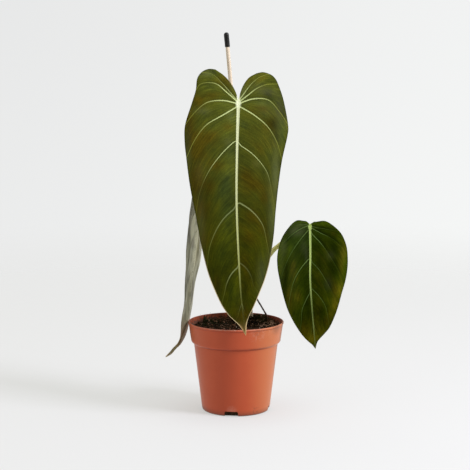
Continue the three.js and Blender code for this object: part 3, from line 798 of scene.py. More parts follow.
def blade_faces(rows, wide):
    """The upper skin of a blade, which ends in one point, and its border in order"""
    tip = rows * wide
    faces = [(a, d, c, b) for a, b, c, d in lattice(rows, wide)]
    last = (rows - 1) * wide
    faces += [(last + column, tip, last + column + 1) for column in range(wide - 1)]
    left = [row * wide for row in range(rows)]
    right = [row * wide + wide - 1 for row in range(rows)]
    top = list(range(wide - 1, 0, -1))
    border = left + [tip] + right[::-1] + top[1:]
    return faces, border


def on_path(leaf, x, y):
    """Flat places on the leaf's path: the path there, the place and where its upper side faces"""
    path = Path(leaf["path"])
    reach = path.length_at(1) + y
    place, along = path.read(reach)
    share = np.clip(reach / path.total, 0, 1)[:, None]
    facing = np.array(leaf["facing"][0]) * (1 - share) + np.array(leaf["facing"][1]) * share
    outward = unit(np.cross(facing, along))
    return place, place + x[:, None] * outward, np.cross(along, outward)


def margin_gap(form, scale, places, sides):
    """For each place, the distance to the margin on its own side"""
    along_edge = np.linspace(0, 2 * last_vein(form), 300)
    gap = np.zeros(len(places))
    for side, sign in (("left", -1), ("right", 1)):
        here = np.flatnonzero(sides == sign)
        edge = through(form[side]["edge"], along_edge) * scale
        gap[here] = nearest_on(edge, places[here])[0]
    return gap


def close_blade(top, bottom, place, rows, wide):
    """Both skins joined by a round edge: points, faces, the side each face has, and the border"""
    faces, border = blade_faces(rows, wide)
    count, skins = len(top), len(faces)
    middle = (top[border] + bottom[border]) / 2
    inward = middle - (top[border] * 3 + place[border]) / 4
    middle = middle + EDGE_BULGE * unit(inward)
    faces += [tuple(count + corner for corner in face[::-1]) for face in faces]
    for step, corner in enumerate(border):
        following = (step + 1) % len(border)
        after = border[following]
        faces.append((corner, 2 * count + step, 2 * count + following, after))
        faces.append((2 * count + step, count + corner, count + after, 2 * count + following))
    kinds = [0] * skins + [1] * skins + [0, 1] * len(border)
    return np.vstack([top, bottom, middle]), faces, kinds, border


def make_blade(name, leaf, settings, top_finish, back_finish):
    form, scale = leaf["form"], leaf["scale"]
    (q, v, x, y, height, sign), rows, wide = blade_grid(leaf, settings.columns)
    flat = np.stack([np.abs(x), y], -1)
    vein, tint, vein_gap = vein_readings(form, scale, flat, sign)
    tip_y = tip_distance(leaf)
    to_tip = np.clip(1 - y / tip_y, 0, 1)
    rib_half = form["rib_width"] * scale * to_tip**0.4 + 0.25
    rib_half += form["rib_flare"] * scale * np.exp(-((y / (40 * scale)) ** 2))

    # On the upper side the veins lie in shallow grooves and the midrib is a low ridge
    groove = 0.35 * scale * np.exp(-((vein_gap / 1.5) ** 2)) * np.clip(3 * v, 0, 1) * (1 - v**2)
    ridge = 0.45 * scale * np.exp(-((x / (1.3 * rib_half)) ** 2)) * np.clip(to_tip * 4, 0, 1)
    upper_height = height - groove + ridge

    # Underneath, the midrib and the veins stand out
    rib = RIB_HEIGHT * scale * to_tip**0.8 * np.sqrt(np.clip(1 - (v / RIB_SHARE) ** 2, 0, 1))
    raised = VEIN_HEIGHT * scale * np.exp(-((vein_gap / (0.9 * scale)) ** 2)) * (1 - v) ** 0.5
    thickness = settings.thickness / MM * (1 - 0.35 * v**6)
    lower_height = height - thickness - np.maximum(rib, raised)

    place, on_leaf, upper = on_path(leaf, x, y)
    top = on_leaf + upper_height[:, None] * upper
    bottom = on_leaf + lower_height[:, None] * upper
    points, faces, kinds, border = close_blade(top, bottom, place, rows, wide)

    fine_at_veins = np.append(0, np.cumsum(form["fine_veins"]))
    readings = {
        "vein": np.minimum(vein, 20), "vein_tint": tint, "rib": np.abs(x) / rib_half,
        "fine": np.interp(q, np.arange(last_vein(form) + 1), fine_at_veins),
        "span": v * sign, "along": y / tip_y, "edge": margin_gap(form, scale, flat, sign),
        "collar": soft_patches(x, y, [(0, 3 * scale, 4 * scale, 7 * scale, 1)]),
    }
    for kind in ("gold", "light", "shade", "gleam"):
        readings[kind] = np.clip(soft_patches(x, y, leaf[kind]), -1, 1.3)
    everywhere = {
        key: np.concatenate([values, values, values[border]]) for key, values in readings.items()
    }
    return make_piece(name, points, faces, [top_finish, back_finish], kinds, everywhere)


def blade_top(name, looks):
    """Velvety upper side: green and gold between pale veins, with streaks along the veins"""
    material, f = new_finish(name)
    span, along = f.reading("span"), f.reading("along")
    fine, edge = f.reading("fine"), f.reading("edge")
    broad = f.noise(f.vector(fine * 0.45, span * 2.2, 0.0), 1.0, 3)
    hair = f.noise(f.vector(fine * 1.2, span * 4, 0.0), 1.0, 3, 0.7)
    thread = f.noise(f.vector(fine * 3.1, span * 6, 4.0), 1.0, 2)
    cloud = f.noise(f.place(), 0.05, 3)
    grain = f.noise(f.place(), 1.1, 2)

    uneven = (broad - 0.5) * 1.5 + (cloud - 0.5) * 1.4 + (hair - 0.5) * 0.3
    gold = f.reading("gold") * looks["placed"] + uneven * looks["patchy"]
    tone = f.mix(gold.within(0, 1), looks["green"], looks["gold"])
    tone = f.mix((gold * -1).within(0, 1), tone, looks["cool"])
    tone = f.mix(along.rise(0.25, 0.75), tone, f.vectors("MULTIPLY", tone, looks["low_filter"]))
    bright = 1 - along.rise(0, 0.5) * looks["fall"] - along.rise(0.55, 0.8) * 0.12
    # Partly the blade's own tone, partly painted light and painted shade of its folds
    light, shade = f.reading("light") * looks["placed"], f.reading("shade") * looks["placed"]
    bright = bright * (1 + light * 0.6) * (1 - shade * 0.6)
    streaks = (broad - 0.5) * 0.7 + (hair - 0.5) + (thread - 0.5) * 0.7
    bright = bright * (streaks + 1) * (1 + (cloud - 0.5) * 0.9)
    ray = (fine.fraction() - 0.5).size() * 2
    ray = ray.rise(0.6, 1.0) * hair.rise(0.3, 0.7)
    bright = bright * (1 + ray * 0.32) * (1 + (grain - 0.5) * 0.9)
    bright = bright * (1 - edge.rise(1.6, 0.4) * looks["edge_line"])
    tone = f.vectors("SCALE", tone, Scale=bright)
    # Painted sheen: the grey green gleam colour is mixed in where the gleam patches lie
    tone = f.mix(f.reading("gleam") * 0.4, tone, looks["gleam"])

    lip = edge.rise(0.8, 0.25) * along.rise(0.55, 0.78) * looks["lip"]
    tone = f.mix(lip, tone, looks["margin"])
    dry = along.rise(0.93, 0.985) * looks["lip"] * (thread + hair - 0.2).at_most(1)
    dry = dry * (0.25 + edge.rise(2.6, 0.8) * 0.75)
    tone = f.mix(dry, tone, looks["dry"])

    vein_tone = f.mix(span.size().rise(0.1, 0.85), looks["vein"], looks["vein_end"])
    vein = f.reading("vein").rise(1.1, 0.55) * f.reading("vein_tint") * looks["vein_strength"]
    # Painted shade: the blade is up to a fifth darker beside the pale veins, in the shallow valleys they lie
    # in
    vein_valley_shade = f.reading("vein").rise(4.2, 1.4) * f.reading("vein_tint") * 0.2
    tone = f.vectors("SCALE", tone, Scale=1 - vein_valley_shade)
    tone = f.mix(vein, tone, vein_tone)
    from_there, until_there, loss = looks["rib_fade"]
    rib = f.reading("rib").rise(1.12, 0.7) * (1 - along.rise(from_there, until_there) * loss)
    rib_tone = f.mix(along.rise(0, 0.9), looks["midrib"], looks["midrib_end"])
    tone = f.mix(rib * 0.97, tone, rib_tone)
    tone = f.mix(f.reading("collar").rise(looks["collar_from"], 0.9), tone, looks["collar"])

    pale = vein.at_least(rib)
    height = grain * 0.15 + ray * -0.4 + broad * 0.5
    rough = looks["rough"] + (hair - 0.5) * 0.12 + pale * 0.05
    f.surface(
        Base_Color=tone, Roughness=rough, Specular_IOR_Level=looks["gloss"],
        Normal=f.bump(height, 0.3, 0.6),
    )
    return material


def blade_back(name, looks):
    """Silvery underside with dark and olive streaks, and a midrib that is palest near the stalk"""
    material, f = new_finish(name)
    span, fine, along = f.reading("span"), f.reading("fine"), f.reading("along")
    edge = f.reading("edge")
    broad = f.noise(f.vector(span * 2.2, along * 3, fine * 0.1), 1.0, 2)
    streak = f.noise(f.vector(span * 3.3, along * 4, fine * 0.12), 1.0, 2, 0.6)
    hair = f.noise(f.vector(fine * 1.8, span * 6, 1.0), 1.0, 2)
    # Pale and dark streaks: partly the underside's own tone, partly painted light and shade of its crumples
    light = (f.reading("light") + (broad - 0.5) * 1.5 + (streak - 0.5) * 3.4) * looks["streaky"]
    shade = (f.reading("shade") + (0.45 - streak) * 3.4 + (0.5 - broad)) * looks["streaky"]
    olive = f.reading("gold") * looks["streaky"] + (hair - 0.5) * 0.8
    tone = f.mix(light.within(0, 1.1) * 0.9, looks["back"], looks["back_pale"])
    tone = f.mix(olive.within(0, 1) * 0.75, tone, looks["back_olive"])
    tone = f.mix(shade.within(0, 1.1) * 0.85, tone, looks["back_vein"])
    ray = (fine.fraction() - 0.5).size() * 2
    ray = ray.rise(0.7, 1.0) * 0.35
    tone = f.mix(ray, tone, looks["back_vein"])
    vein = f.reading("vein").rise(2.0, 0.7) * (0.25 + f.reading("vein_tint") * 0.4)
    tone = f.mix(vein, tone, looks["back_vein"])
    rib = f.reading("rib").rise(1.5, 0.9) * (1 - along.rise(0.3, 0.7) * 0.8)
    tone = f.mix(rib * 0.7, tone, looks["back_rib"])
    tone = f.mix(edge.rise(1.2, 0.3) * span.rise(-0.2, -0.6) * 0.8, tone, looks["back_pale"])
    tone = f.mix(edge.rise(1.6, 0.3) * span.rise(0.2, 0.6) * 0.5, tone, looks["back_edge"])
    height = hair * 0.5 + ray * 0.7 + streak * 0.6
    f.surface(
        Base_Color=tone, Roughness=0.6 + (hair - 0.5) * 0.1, Specular_IOR_Level=0.2,
        Sheen_Weight=0.08, Sheen_Tint=(0.9, 0.88, 0.8, 1), Normal=f.bump(height, 0.3, 0.6),
    )
    return material


class PHILODENDRON_OT_blades(bpy.types.Operator):
    """Make the three hanging leaf blades"""

    bl_idname = "philodendron.blades"
    bl_label = "Blades"

    def execute(self, context):
        s = context.scene.philodendron_blades
        olive = {
            "green": s.green, "cool": s.cool, "gold": s.gold, "vein": s.vein, "vein_end": s.vein_end,
            "midrib": s.midrib, "midrib_end": s.midrib_end, "collar": s.collar, "margin": s.margin,
            "dry": s.dry, "gleam": s.gleam, "fall": 0.45, "lip": 0.9, "vein_strength": 0.95,
            "rough": 0.55, "gloss": 0.03, "patchy": 0.8, "low_filter": (1, 1, 0.2), "edge_line": 0.3,
            "rib_fade": (0.57, 0.93, 0.93), "collar_from": 0.3,
        }
        deep = {
            "green": s.young_green, "cool": s.young_cool, "gold": s.young_gold, "vein": s.young_vein,
            "vein_end": s.young_vein_end, "midrib": s.young_midrib, "midrib_end": s.young_midrib,
            "collar": s.young_midrib, "margin": s.young_gold, "dry": s.young_gold, "gleam": s.gleam,
            "fall": 0.12, "lip": 0.5, "vein_strength": 0.6, "rough": 0.55, "gloss": 0.0,
            "patchy": 0.6, "low_filter": (1, 1, 0.6), "edge_line": 0.1, "rib_fade": (0.25, 0.75, 0.75),
            "collar_from": 0.6,
        }
        under = {
            "back": s.back, "back_pale": s.back_pale, "back_olive": s.back_olive,
            "back_vein": s.back_vein, "back_rib": s.back_rib, "back_edge": s.shade,
        }
        for leaf_name, slot, looks in (
            ("front", "blade_olive", olive), ("right", "blade_deep", deep), ("left", "blade_olive", olive),
        ):
            node = leaf_name + "_blade"
            looks["placed"] = 0.2 if leaf_name == "left" else 1
            top = blade_top(leaf_name + "_leaf_upper_skin", looks)
            under["streaky"] = 1 if leaf_name == "left" else 0.3
            back = blade_back(leaf_name + "_leaf_under_skin", under)
            blade = make_blade("fine_" + node, LEAVES[leaf_name], s, top, back)
            settle(blade, slot, node)
        return {"FINISHED"}


# Stem, stalks and root: round paths with a radius at both ends. The stem's joints are shares of
# its length. A stalk ends on its blade, which is looked for over the last LANDING_REACH of it.

STEM_PATH = [[5.4, 20, 63.7], [6.4, 22, 105.7], [6.4, 23, 131.7], [4.9, 21, 156.7], [3.9, 19, 181.7]]
STALKS = {
    "front": {
        "path": [
            [4.1, 19.5, 173.7], [3.8, 18, 201.7], [3, 15, 251.7], [2.4, 9, 311.7], [2.2, 1, 357.7],
            [2.5, -9, 379.7], [2.9, -17, 385.2], [3, -24, 384.7],
        ],
        "radii": [3.6, 2.6],
    },
    "right": {
        "path": [
            [7.6, 22, 133.7], [11.9, 21, 143.7], [25.4, 18.5, 169.7], [45.4, 15, 198.1], [54, 14, 206.5],
            [73.4, 11, 222.7], [85.4, 6, 230.7], [90.9, 0.5, 233], [92.4, -6, 232.2],
        ],
        "radii": [3.6, 2.5],
    },
    "left": {
        "path": [
            [5.3, 21.6, 149.7], [-7.6, 20.5, 183.7], [-23.6, 19, 223.7], [-33.6, 16.5, 250.7],
            [-38.7, 14.5, 260.2], [-45.7, 12.5, 262.2],
        ],
        "radii": [3.3, 2.3],
    },
}
ROOT_PATH = [
    [4.8, 21, 164.7], [10.4, 26.5, 161.2], [18.9, 29.5, 151.2], [26.4, 31, 136], [32.4, 32, 125.7],
    [38.4, 34, 114.8], [40.6, 35, 109.3], [40.8, 34.6, 99],
]
ROOT_RADII = [0.85, 1.2]
STEM_RADII = [4.9, 4.0]
STEM_JOINTS = [0.45, 0.62, 0.76, 0.88]
LANDING_REACH = 14
STALK_ROWS = 150
LANDING_ROWS = 24


def ring_frames(path, reach):
    """Two directions across a path at each length, with no twist between them"""
    place, along = path.read(reach)
    across = [unit(np.cross(along[0], [0.3, 0.2, 1.0]))]
    for direction in along[1:]:
        kept = across[-1] - direction * np.dot(across[-1], direction)
        across.append(unit(kept))
    across = np.array(across)
    return place, along, across, np.cross(along, across)


def tube(path, reach, radius_at, sides):
    """Rings of points along a path. radius_at takes the share of the length and the angle."""
    place, along, across, up = ring_frames(path, reach)
    angle = np.linspace(0, 2 * np.pi, sides, endpoint=False)
    share = (reach / path.total)[:, None]
    radius = radius_at(share, angle[None, :])
    rings = (
        place[:, None]
        + (radius * np.cos(angle))[..., None] * across[:, None]
        + (radius * np.sin(angle))[..., None] * up[:, None]
    )
    return rings, along, np.broadcast_to(share, radius.shape), np.broadcast_to(angle, radius.shape)


def close_tube(rings):
    """The points and faces of a tube with a point at the middle of each end"""
    points = np.vstack([rings.reshape(-1, 3), rings[0].mean(0), rings[-1].mean(0)])
    return points, ringed_faces(*rings.shape[:2])


def bumps(points, size, seed):
    """Noise from -1 to 1 at each point, with hills about size millimetres wide"""
    shift = Vector((seed * 17.3, seed * 5.1, seed * 9.7))
    return np.array([noise.noise(Vector(point) / size + shift) for point in points.reshape(-1, 3)])


def roughen(points, sizes, seed):
    """Moves points along the directions from their ring's middle"""
    shape = points.shape
    middle = points.mean(1, keepdims=True)
    away = unit(points - middle)
    for size, amount in sizes:
        lift = bumps(points, size, seed).reshape(shape[:2])
        points = points + away * (lift * amount)[..., None]
    return points


def stalk_rings(stalk, blade, sides):
    """A stalk's rings up to the back of its blade, where the last ring lands on the blade"""
    path = Path(stalk["path"])
    first, last = stalk["radii"]

    def radius_at(share, angle):
        collar = 0.7 * np.exp(-12 * share) + 0.35 * np.exp(-(((share - 0.93) / 0.045) ** 2))
        flat_top = 1 - 0.06 * np.cos(angle) ** 2
        return (first + (last - first) * share + collar) * flat_top

    skin = BVHTree.FromPolygons(
        [vertex.co / MM for vertex in blade.data.vertices],
        [polygon.vertices for polygon in blade.data.polygons],
    )
    stop = path.total - LANDING_REACH
    reach = np.concatenate([
        np.linspace(0, stop, STALK_ROWS), np.linspace(stop + 0.6, path.total, LANDING_ROWS),
    ])
    rings, along, share, angle = tube(path, reach, radius_at, sides)
    kept = len(rings)
    for number in range(STALK_ROWS - 10, len(rings)):
        middle = rings[number].mean(0)
        near = skin.find_nearest(Vector(middle))
        radius = np.linalg.norm(rings[number][0] - middle)
        if near[3] < radius * 1.05:
            kept = number
            break
    landing = []
    for corner in rings[kept - 1]:
        hit = skin.ray_cast(Vector(corner), Vector(along[kept - 1]), LANDING_REACH)
        landing.append(np.array(hit[0]) if hit[0] is not None else corner + along[kept - 1] * 2)
    rings = np.concatenate([rings[:kept], np.array(landing)[None]])
    share = np.concatenate([share[:kept], share[kept - 1:kept]])
    angle = np.concatenate([angle[:kept], angle[:1]])
    return rings, share, angle


def stalk_finish(name, s):
    """Cream green skin with olive streaks along the stalk and tiny pale warts"""
    material, f = new_finish(name)
    share, turn = f.reading("share"), f.reading("turn")
    streak = f.noise(f.vector(turn * 3, share * 6, 0.0), 1.6, 3)
    cloud = f.noise(f.place(), 0.12, 3)
    wart = f.cells(f.place(), 1.1).rise(0.28, 0.12)
    tone = f.mix((streak.rise(0.35, 0.7) * 0.7 + cloud.rise(0.4, 0.7) * 0.3), s.pale, s.olive)
    tone = f.mix(wart * 0.45, tone, (0.55, 0.55, 0.36))
    tone = f.mix(share.rise(0.14, 0.0) * 0.6, tone, s.husk)
    height = wart + streak * 0.4
    f.surface(
        Base_Color=tone, Roughness=0.5 + (cloud - 0.5) * 0.2, Specular_IOR_Level=0.35,
        Normal=f.bump(height, 0.25, 0.7),
    )
    return material


def bark_finish(name, s):
    """Brown bark with dry husk, which turns olive green further up"""
    material, f = new_finish(name)
    place = f.place()
    _, _, high = f.parts(place)
    rough_bark = f.noise(f.vectors("MULTIPLY", place, (0.9, 0.9, 0.25)), 1.0, 4)
    speck = f.noise(place, 2.4, 2)
    tone = f.mix(rough_bark.rise(0.35, 0.65), s.bark, s.husk)
    tone = f.mix(speck.rise(0.5, 0.75) * 0.5, tone, (0.045, 0.03, 0.02))
    tone = f.mix(high.rise(118, 165) * rough_bark.rise(0.7, 0.3), tone, s.olive)
    f.surface(
        Base_Color=tone, Roughness=0.75 + (speck - 0.5) * 0.2, Specular_IOR_Level=0.25,
        Normal=f.bump(rough_bark + speck * 0.5, 0.5, 0.8),
    )
    return material


def root_finish(name):
    """Grey above, darker red brown where it nears the soil, with dark flecks"""
    material, f = new_finish(name)
    place = f.place()
    _, _, high = f.parts(place)
    grain = f.noise(f.vectors("MULTIPLY", place, (2.0, 2.0, 0.6)), 1.0, 3)
    tone = f.mix(high.rise(116, 128), (0.13, 0.052, 0.030), (0.17, 0.15, 0.125))
    tone = f.mix(grain.rise(0.4, 0.75) * 0.6, tone, (0.05, 0.038, 0.03))
    f.surface(
        Base_Color=tone, Roughness=0.7 + (grain - 0.5) * 0.2, Specular_IOR_Level=0.3,
        Normal=f.bump(grain, 0.2, 0.8),
    )
    return material


def make_tube(name, rings, finish, share, angle):
    points, faces = close_tube(rings)
    turn = np.abs(np.sin(angle / 2 + 0.6)) * 2
    numbers = {
        "share": np.append(share.ravel(), [share[0, 0], share[-1, 0]]),
        "turn": np.append(turn.ravel(), [0, 0]),
    }
    return make_piece(name, points, faces, [finish], None, numbers)


class PHILODENDRON_OT_stalks(bpy.types.Operator):
    """Make the stem, the three stalks and the aerial root. The blades come first."""

    bl_idname = "philodendron.stalks"
    bl_label = "Stem, stalks and root"

    def execute(self, context):
        s = context.scene.philodendron_stalks
        for leaf_name, stalk in STALKS.items():
            blade = bpy.data.objects["fine_" + leaf_name + "_blade"]
            rings, share, angle = stalk_rings(stalk, blade, s.sides)
            rings[:-1] = roughen(rings[:-1], [(9, 0.16), (2.4, 0.05)], 3)
            skin = stalk_finish(leaf_name + "_stalk_skin", s)
            piece = make_tube("fine_" + leaf_name + "_stalk", rings, skin, share, angle)
            settle(piece, "stalk_skin", leaf_name + "_stalk")
        self.make_stem(s)
        self.make_root()
        return {"FINISHED"}

    def make_stem(self, s):
        path = Path(STEM_PATH)
        first, last = STEM_RADII

        def radius_at(share, angle):
            radius = first + (last - first) * share + 0 * angle
            for joint in STEM_JOINTS:
                radius = radius + 0.5 * np.exp(-(((share - joint) / 0.012) ** 2))
            ends = np.clip(share / 0.03, 0, 1) * np.clip((1 - share) / 0.04, 0, 1)
            return radius * np.sqrt(np.clip(1 - (1 - ends) ** 2, 0.12, 1))

        reach = np.concatenate([np.linspace(0, 5, 8), np.linspace(5.5, path.total - 5, 150),
                                np.linspace(path.total - 4.5, path.total, 10)])
        rings, _, share, angle = tube(path, reach, radius_at, s.sides + 8)
        rings = roughen(rings, [(6, 0.2), (1.6, 0.1)], 5)
        piece = make_tube("fine_main_stem", rings, bark_finish("stem_bark", s), share, angle)
        settle(piece, "stem_skin", "main_stem")

    def make_root(self):
        path = Path(ROOT_PATH)
        first, last = ROOT_RADII

        def radius_at(share, angle):
            knots = 0.16 * np.sin(share * 41) * np.sin(share * 17 + 1)
            return first + (last - first) * share + knots * share + 0 * angle

        rings, _, share, angle = tube(path, np.linspace(0, path.total, 200), radius_at, 14)
        rings = roughen(rings, [(3, 0.12), (0.8, 0.06)], 8)
        piece = make_tube("fine_aerial_root", rings, root_finish("root_bark_grey"), share, angle)
        settle(piece, "root_bark", "aerial_root")


# Pot: one turned profile with rounded corners, and four drain slots through its foot

POT_HEIGHT = 112.8
TOP_RADIUS = 60
FOOT_RADIUS = 42.8
SHOULDER_RADIUS = 52.6
SHOULDER_HEIGHT = 85.1
BAND_HEIGHT = 27
WALL = 1.1
FLOOR = 1.6
SLOT = {"width": 17, "height": 6.5, "depth": 12, "corner": 2, "count": 4, "turn": -7.9}


def inner_wall():
    """The pot's inner wall from its floor to its lip, as radius and height"""
    return [
        (FOOT_RADIUS - WALL - 1.6, FLOOR), (FOOT_RADIUS - WALL, FLOOR + 2),
        (SHOULDER_RADIUS - WALL, SHOULDER_HEIGHT + 0.4),
        (TOP_RADIUS - 4 - WALL, POT_HEIGHT - BAND_HEIGHT + 3.6),
        (TOP_RADIUS - WALL - 0.9, POT_HEIGHT - 0.8), (TOP_RADIUS - WALL - 0.4, POT_HEIGHT),
    ]


def inner_radius(height):
    wall = inner_wall()
    return np.interp(height, [z for _, z in wall], [r for r, _ in wall])


def rounded(corners, steps=5):
    """A profile with each corner replaced by a small arc. A corner is radius, height, rounding."""
    profile = [corners[0][:2]]
    for before, corner, after in zip(corners, corners[1:], corners[2:]):
        here = np.array(corner[:2], float)
        to_before = np.array(before[:2]) - here
        to_after = np.array(after[:2]) - here
        cut = min(corner[2], np.linalg.norm(to_before) * 0.49, np.linalg.norm(to_after) * 0.49)
        if cut <= 0:
            profile.append(tuple(here))
            continue
        start = here + to_before / np.linalg.norm(to_before) * cut
        stop = here + to_after / np.linalg.norm(to_after) * cut
        for t in np.linspace(0, 1, steps):
            profile.append(tuple((1 - t) ** 2 * start + 2 * t * (1 - t) * here + t**2 * stop))
    profile.append(corners[-1][:2])
    return profile


def spaced(profile, longest):
    """The profile with long stretches divided"""
    dense = [profile[0]]
    for start, stop in zip(profile, profile[1:]):
        pieces = max(1, math.ceil(math.dist(start, stop) / longest))
        for step in range(1, pieces + 1):
            dense.append(tuple(np.array(start) + (np.array(stop) - np.array(start)) * step / pieces))
    return dense


def pot_profile():
    band_foot = POT_HEIGHT - BAND_HEIGHT
    outer = [
        (0, 0, 0), (FOOT_RADIUS - 2.9, 0, 0.8), (FOOT_RADIUS - 1.3, 0.7, 0.8),
        (FOOT_RADIUS - 0.4, 1.9, 0.8), (FOOT_RADIUS, 3.2, 1),
        (SHOULDER_RADIUS, SHOULDER_HEIGHT - 0.4, 0.5), (SHOULDER_RADIUS + 0.5, SHOULDER_HEIGHT + 0.6, 0.3),
        (TOP_RADIUS - 4, band_foot + 2.2, 1.4), (TOP_RADIUS - 0.8, POT_HEIGHT - 2.7, 0.4),
        (TOP_RADIUS, POT_HEIGHT - 2.1, 0.3), (TOP_RADIUS, POT_HEIGHT - 0.8, 0.6),
        (TOP_RADIUS - 0.6, POT_HEIGHT, 0.4),
    ]
    inner = [(r, z, 0.5) for r, z in reversed(inner_wall())]
    return spaced(rounded([*outer, *inner, (0, FLOOR, 0)]), 3)


def turned(profile, sides, radius_change=None):
    """A profile of radius and height turned about the upright axis, closed at both ends"""
    profile = np.array(profile)
    angle = np.linspace(0, 2 * np.pi, sides, endpoint=False)
    radius = profile[1:-1, 0][:, None] + np.zeros(sides)
    high = profile[1:-1, 1][:, None] + np.zeros(sides)
    if radius_change is not None:
        radius = radius + radius_change(angle[None, :], high)
    rings = np.stack([radius * np.cos(angle), radius * np.sin(angle), high], -1)
    ends = [[0, 0, profile[0, 1]], [0, 0, profile[-1, 1]]]
    return np.vstack([rings.reshape(-1, 3), ends]), ringed_faces(len(rings), sides)


def slot_cutter(degrees):
    """A block with rounded upper corners, pushed into the foot from outside"""
    width, height, corner = SLOT["width"], SLOT["height"], SLOT["corner"]
    outline = [(-width / 2, -2), (width / 2, -2)]
    for centre, first in ((width / 2 - corner, 0), (corner - width / 2, 90)):
        for step in range(7):
            turn = math.radians(first + step * 15)
            outline.append((centre + corner * math.cos(turn), height - corner + corner * math.sin(turn)))
    outer = -FOOT_RADIUS - 5
    points = [(x, outer, z) for x, z in outline] + [(x, outer + SLOT["depth"], z) for x, z in outline]
    count = len(outline)
    faces = [tuple(range(count)), tuple(range(2 * count - 1, count - 1, -1))]
    for corner_number in range(count):
        after = (corner_number + 1) % count
        faces.append((corner_number, corner_number + count, after + count, after))
    turn = math.radians(degrees)
    spin = np.array([[math.cos(turn), -math.sin(turn), 0], [math.sin(turn), math.cos(turn), 0], [0, 0, 1]])
    return make_piece("slot_cutter", np.array(points) @ spin.T, faces, [])


def cut_away(piece, cutters):
    """Cuts each cutter out of the piece and removes it"""
    for cutter in cutters:
        cut = piece.modifiers.new("slot", "BOOLEAN")
        cut.operation = "DIFFERENCE"
        cut.solver = "EXACT"
        cut.object = cutter
    bpy.context.view_layer.update()
    graph = bpy.context.evaluated_depsgraph_get()
    made = bpy.data.meshes.new_from_object(piece.evaluated_get(graph))
    piece.modifiers.clear()
    piece.data = made
    for cutter in cutters:
        bpy.data.objects.remove(cutter)


def pot_finish(name, s):
    """Satin moulded plastic with painted light at the right and painted shade in its creases and slots, with
    scuffs, soil smears and water marks
    """
    material, f = new_finish(name)
    place = f.place()
    x, y, high = f.parts(place)
    cloud = f.noise(place, 0.03, 4)
    mottle = f.noise(place, 0.35, 4)
    speck = f.noise(place, 1.5, 3)
    dull_and_band_shade = [channel * share for channel, share in zip(s.orange, (0.82, 0.72, 0.72))]
    tone = f.mix(cloud.rise(0.35, 0.7) * 0.3, s.orange, dull_and_band_shade)
    # Painted light: the right side, toward the soft box, and a little of the far left edge, where the pale
    # backdrop is reflected, turn a paler orange
    painted_lit_side = x.rise(8, 50) + (x * -1).rise(26, 56) * 0.25
    tone = f.mix(painted_lit_side + (cloud - 0.5) * 0.3 * painted_lit_side, tone, s.faded)
    # Painted shade: a darker upright band where x is near -11 mm, standing in for the dark card's reflection
    tone = f.mix((x + 11).size().rise(20, 2) * 0.55, tone, dull_and_band_shade)

    def patch(centre, reach, strength):
        gap = f.vectors("DISTANCE", place, centre)
        return gap.rise(reach, reach * 0.25) * strength

    # Painted shade: a dark red line under the rolled lip, and in the crease under the band at the front and
    # back
    under_lip_shade = (high - (POT_HEIGHT - 2.7)).size().rise(0.9, 0.2)
    crease = (high - (SHOULDER_HEIGHT + 0.8)).size().rise(1.7, 0.4) * x.size().rise(50, 30)
    tone = f.mix(under_lip_shade * 0.45 + crease * (0.5 + mottle * 0.4), tone, s.groove)
    scuff = (patch((28, -52, 107), 16, 1.0) + patch((45, -39, 108), 12, 0.6)).at_most(1)
    scuff = scuff * mottle.rise(0.46, 0.62)
    tone = f.mix(scuff * 0.2, tone, s.chalk)
    # Soil smears on the rim and near the base, and the pot darker toward the floor and low on its left side
    grime_and_low_darkening = patch((26, -53, 109.5), 9, 1.0) * speck.rise(0.5, 0.62)
    grime_and_low_darkening = grime_and_low_darkening + patch((24, -36, 8), 8, 0.6) * mottle.rise(0.45, 0.6)
    grime_and_low_darkening = grime_and_low_darkening + high.rise(9, 0.5) * (0.5 + speck * 0.7) + patch((47, -28, 113), 15, 0.8)
    grime_and_low_darkening = grime_and_low_darkening + patch((-48, 0, 6), 34, 0.35) * high.rise(14, 4)
    tone = f.mix(grime_and_low_darkening.at_most(1) * 0.6, tone, s.dirt)
    # The lip's top is lighter: a thin painted highlight all round, with patchy chalky wear on top of it
    lip_top_wear_and_highlight = high.rise(POT_HEIGHT - 1.6, POT_HEIGHT - 0.6)
    lip_wear = lip_top_wear_and_highlight * mottle.rise(0.35, 0.6)
    tone = f.mix(lip_top_wear_and_highlight * (0.1 + mottle.rise(0.3, 0.6) * 0.4 * (x + 12).size().rise(44, 16)), tone, s.chalk)
    slot_marks = patch((-5, -43, 7.5), 9, 1.0) * speck.rise(0.42, 0.58) * high.rise(5.5, 7)
    tone = f.mix(slot_marks * 0.3, tone, s.chalk)
    # Painted shade: inside the drain slots, below 8.5 mm and inward of the foot's outside, the colour is up
    # to 85 per cent darker
    across = f.vectors("LENGTH", f.vector(x, y, 0))
    hollow = high.rise(8.5, 7.5) * across.rise(FOOT_RADIUS - 0.5, FOOT_RADIUS - 2)
    tone = f.vectors("SCALE", tone, Scale=1 - hollow * 0.85)
    rough = 0.42 + (mottle - 0.5) * 0.16 + (scuff + lip_wear) * 0.15
    height = cloud * 0.6 + speck * 0.08
    f.surface(
        Base_Color=tone, Roughness=rough, Specular_IOR_Level=0.25, Sheen_Weight=0.15,
        Sheen_Roughness=0.35, Sheen_Tint=(1, 0.88, 0.75, 1), Normal=f.bump(height, 0.25, 0.5),
    )
    return material


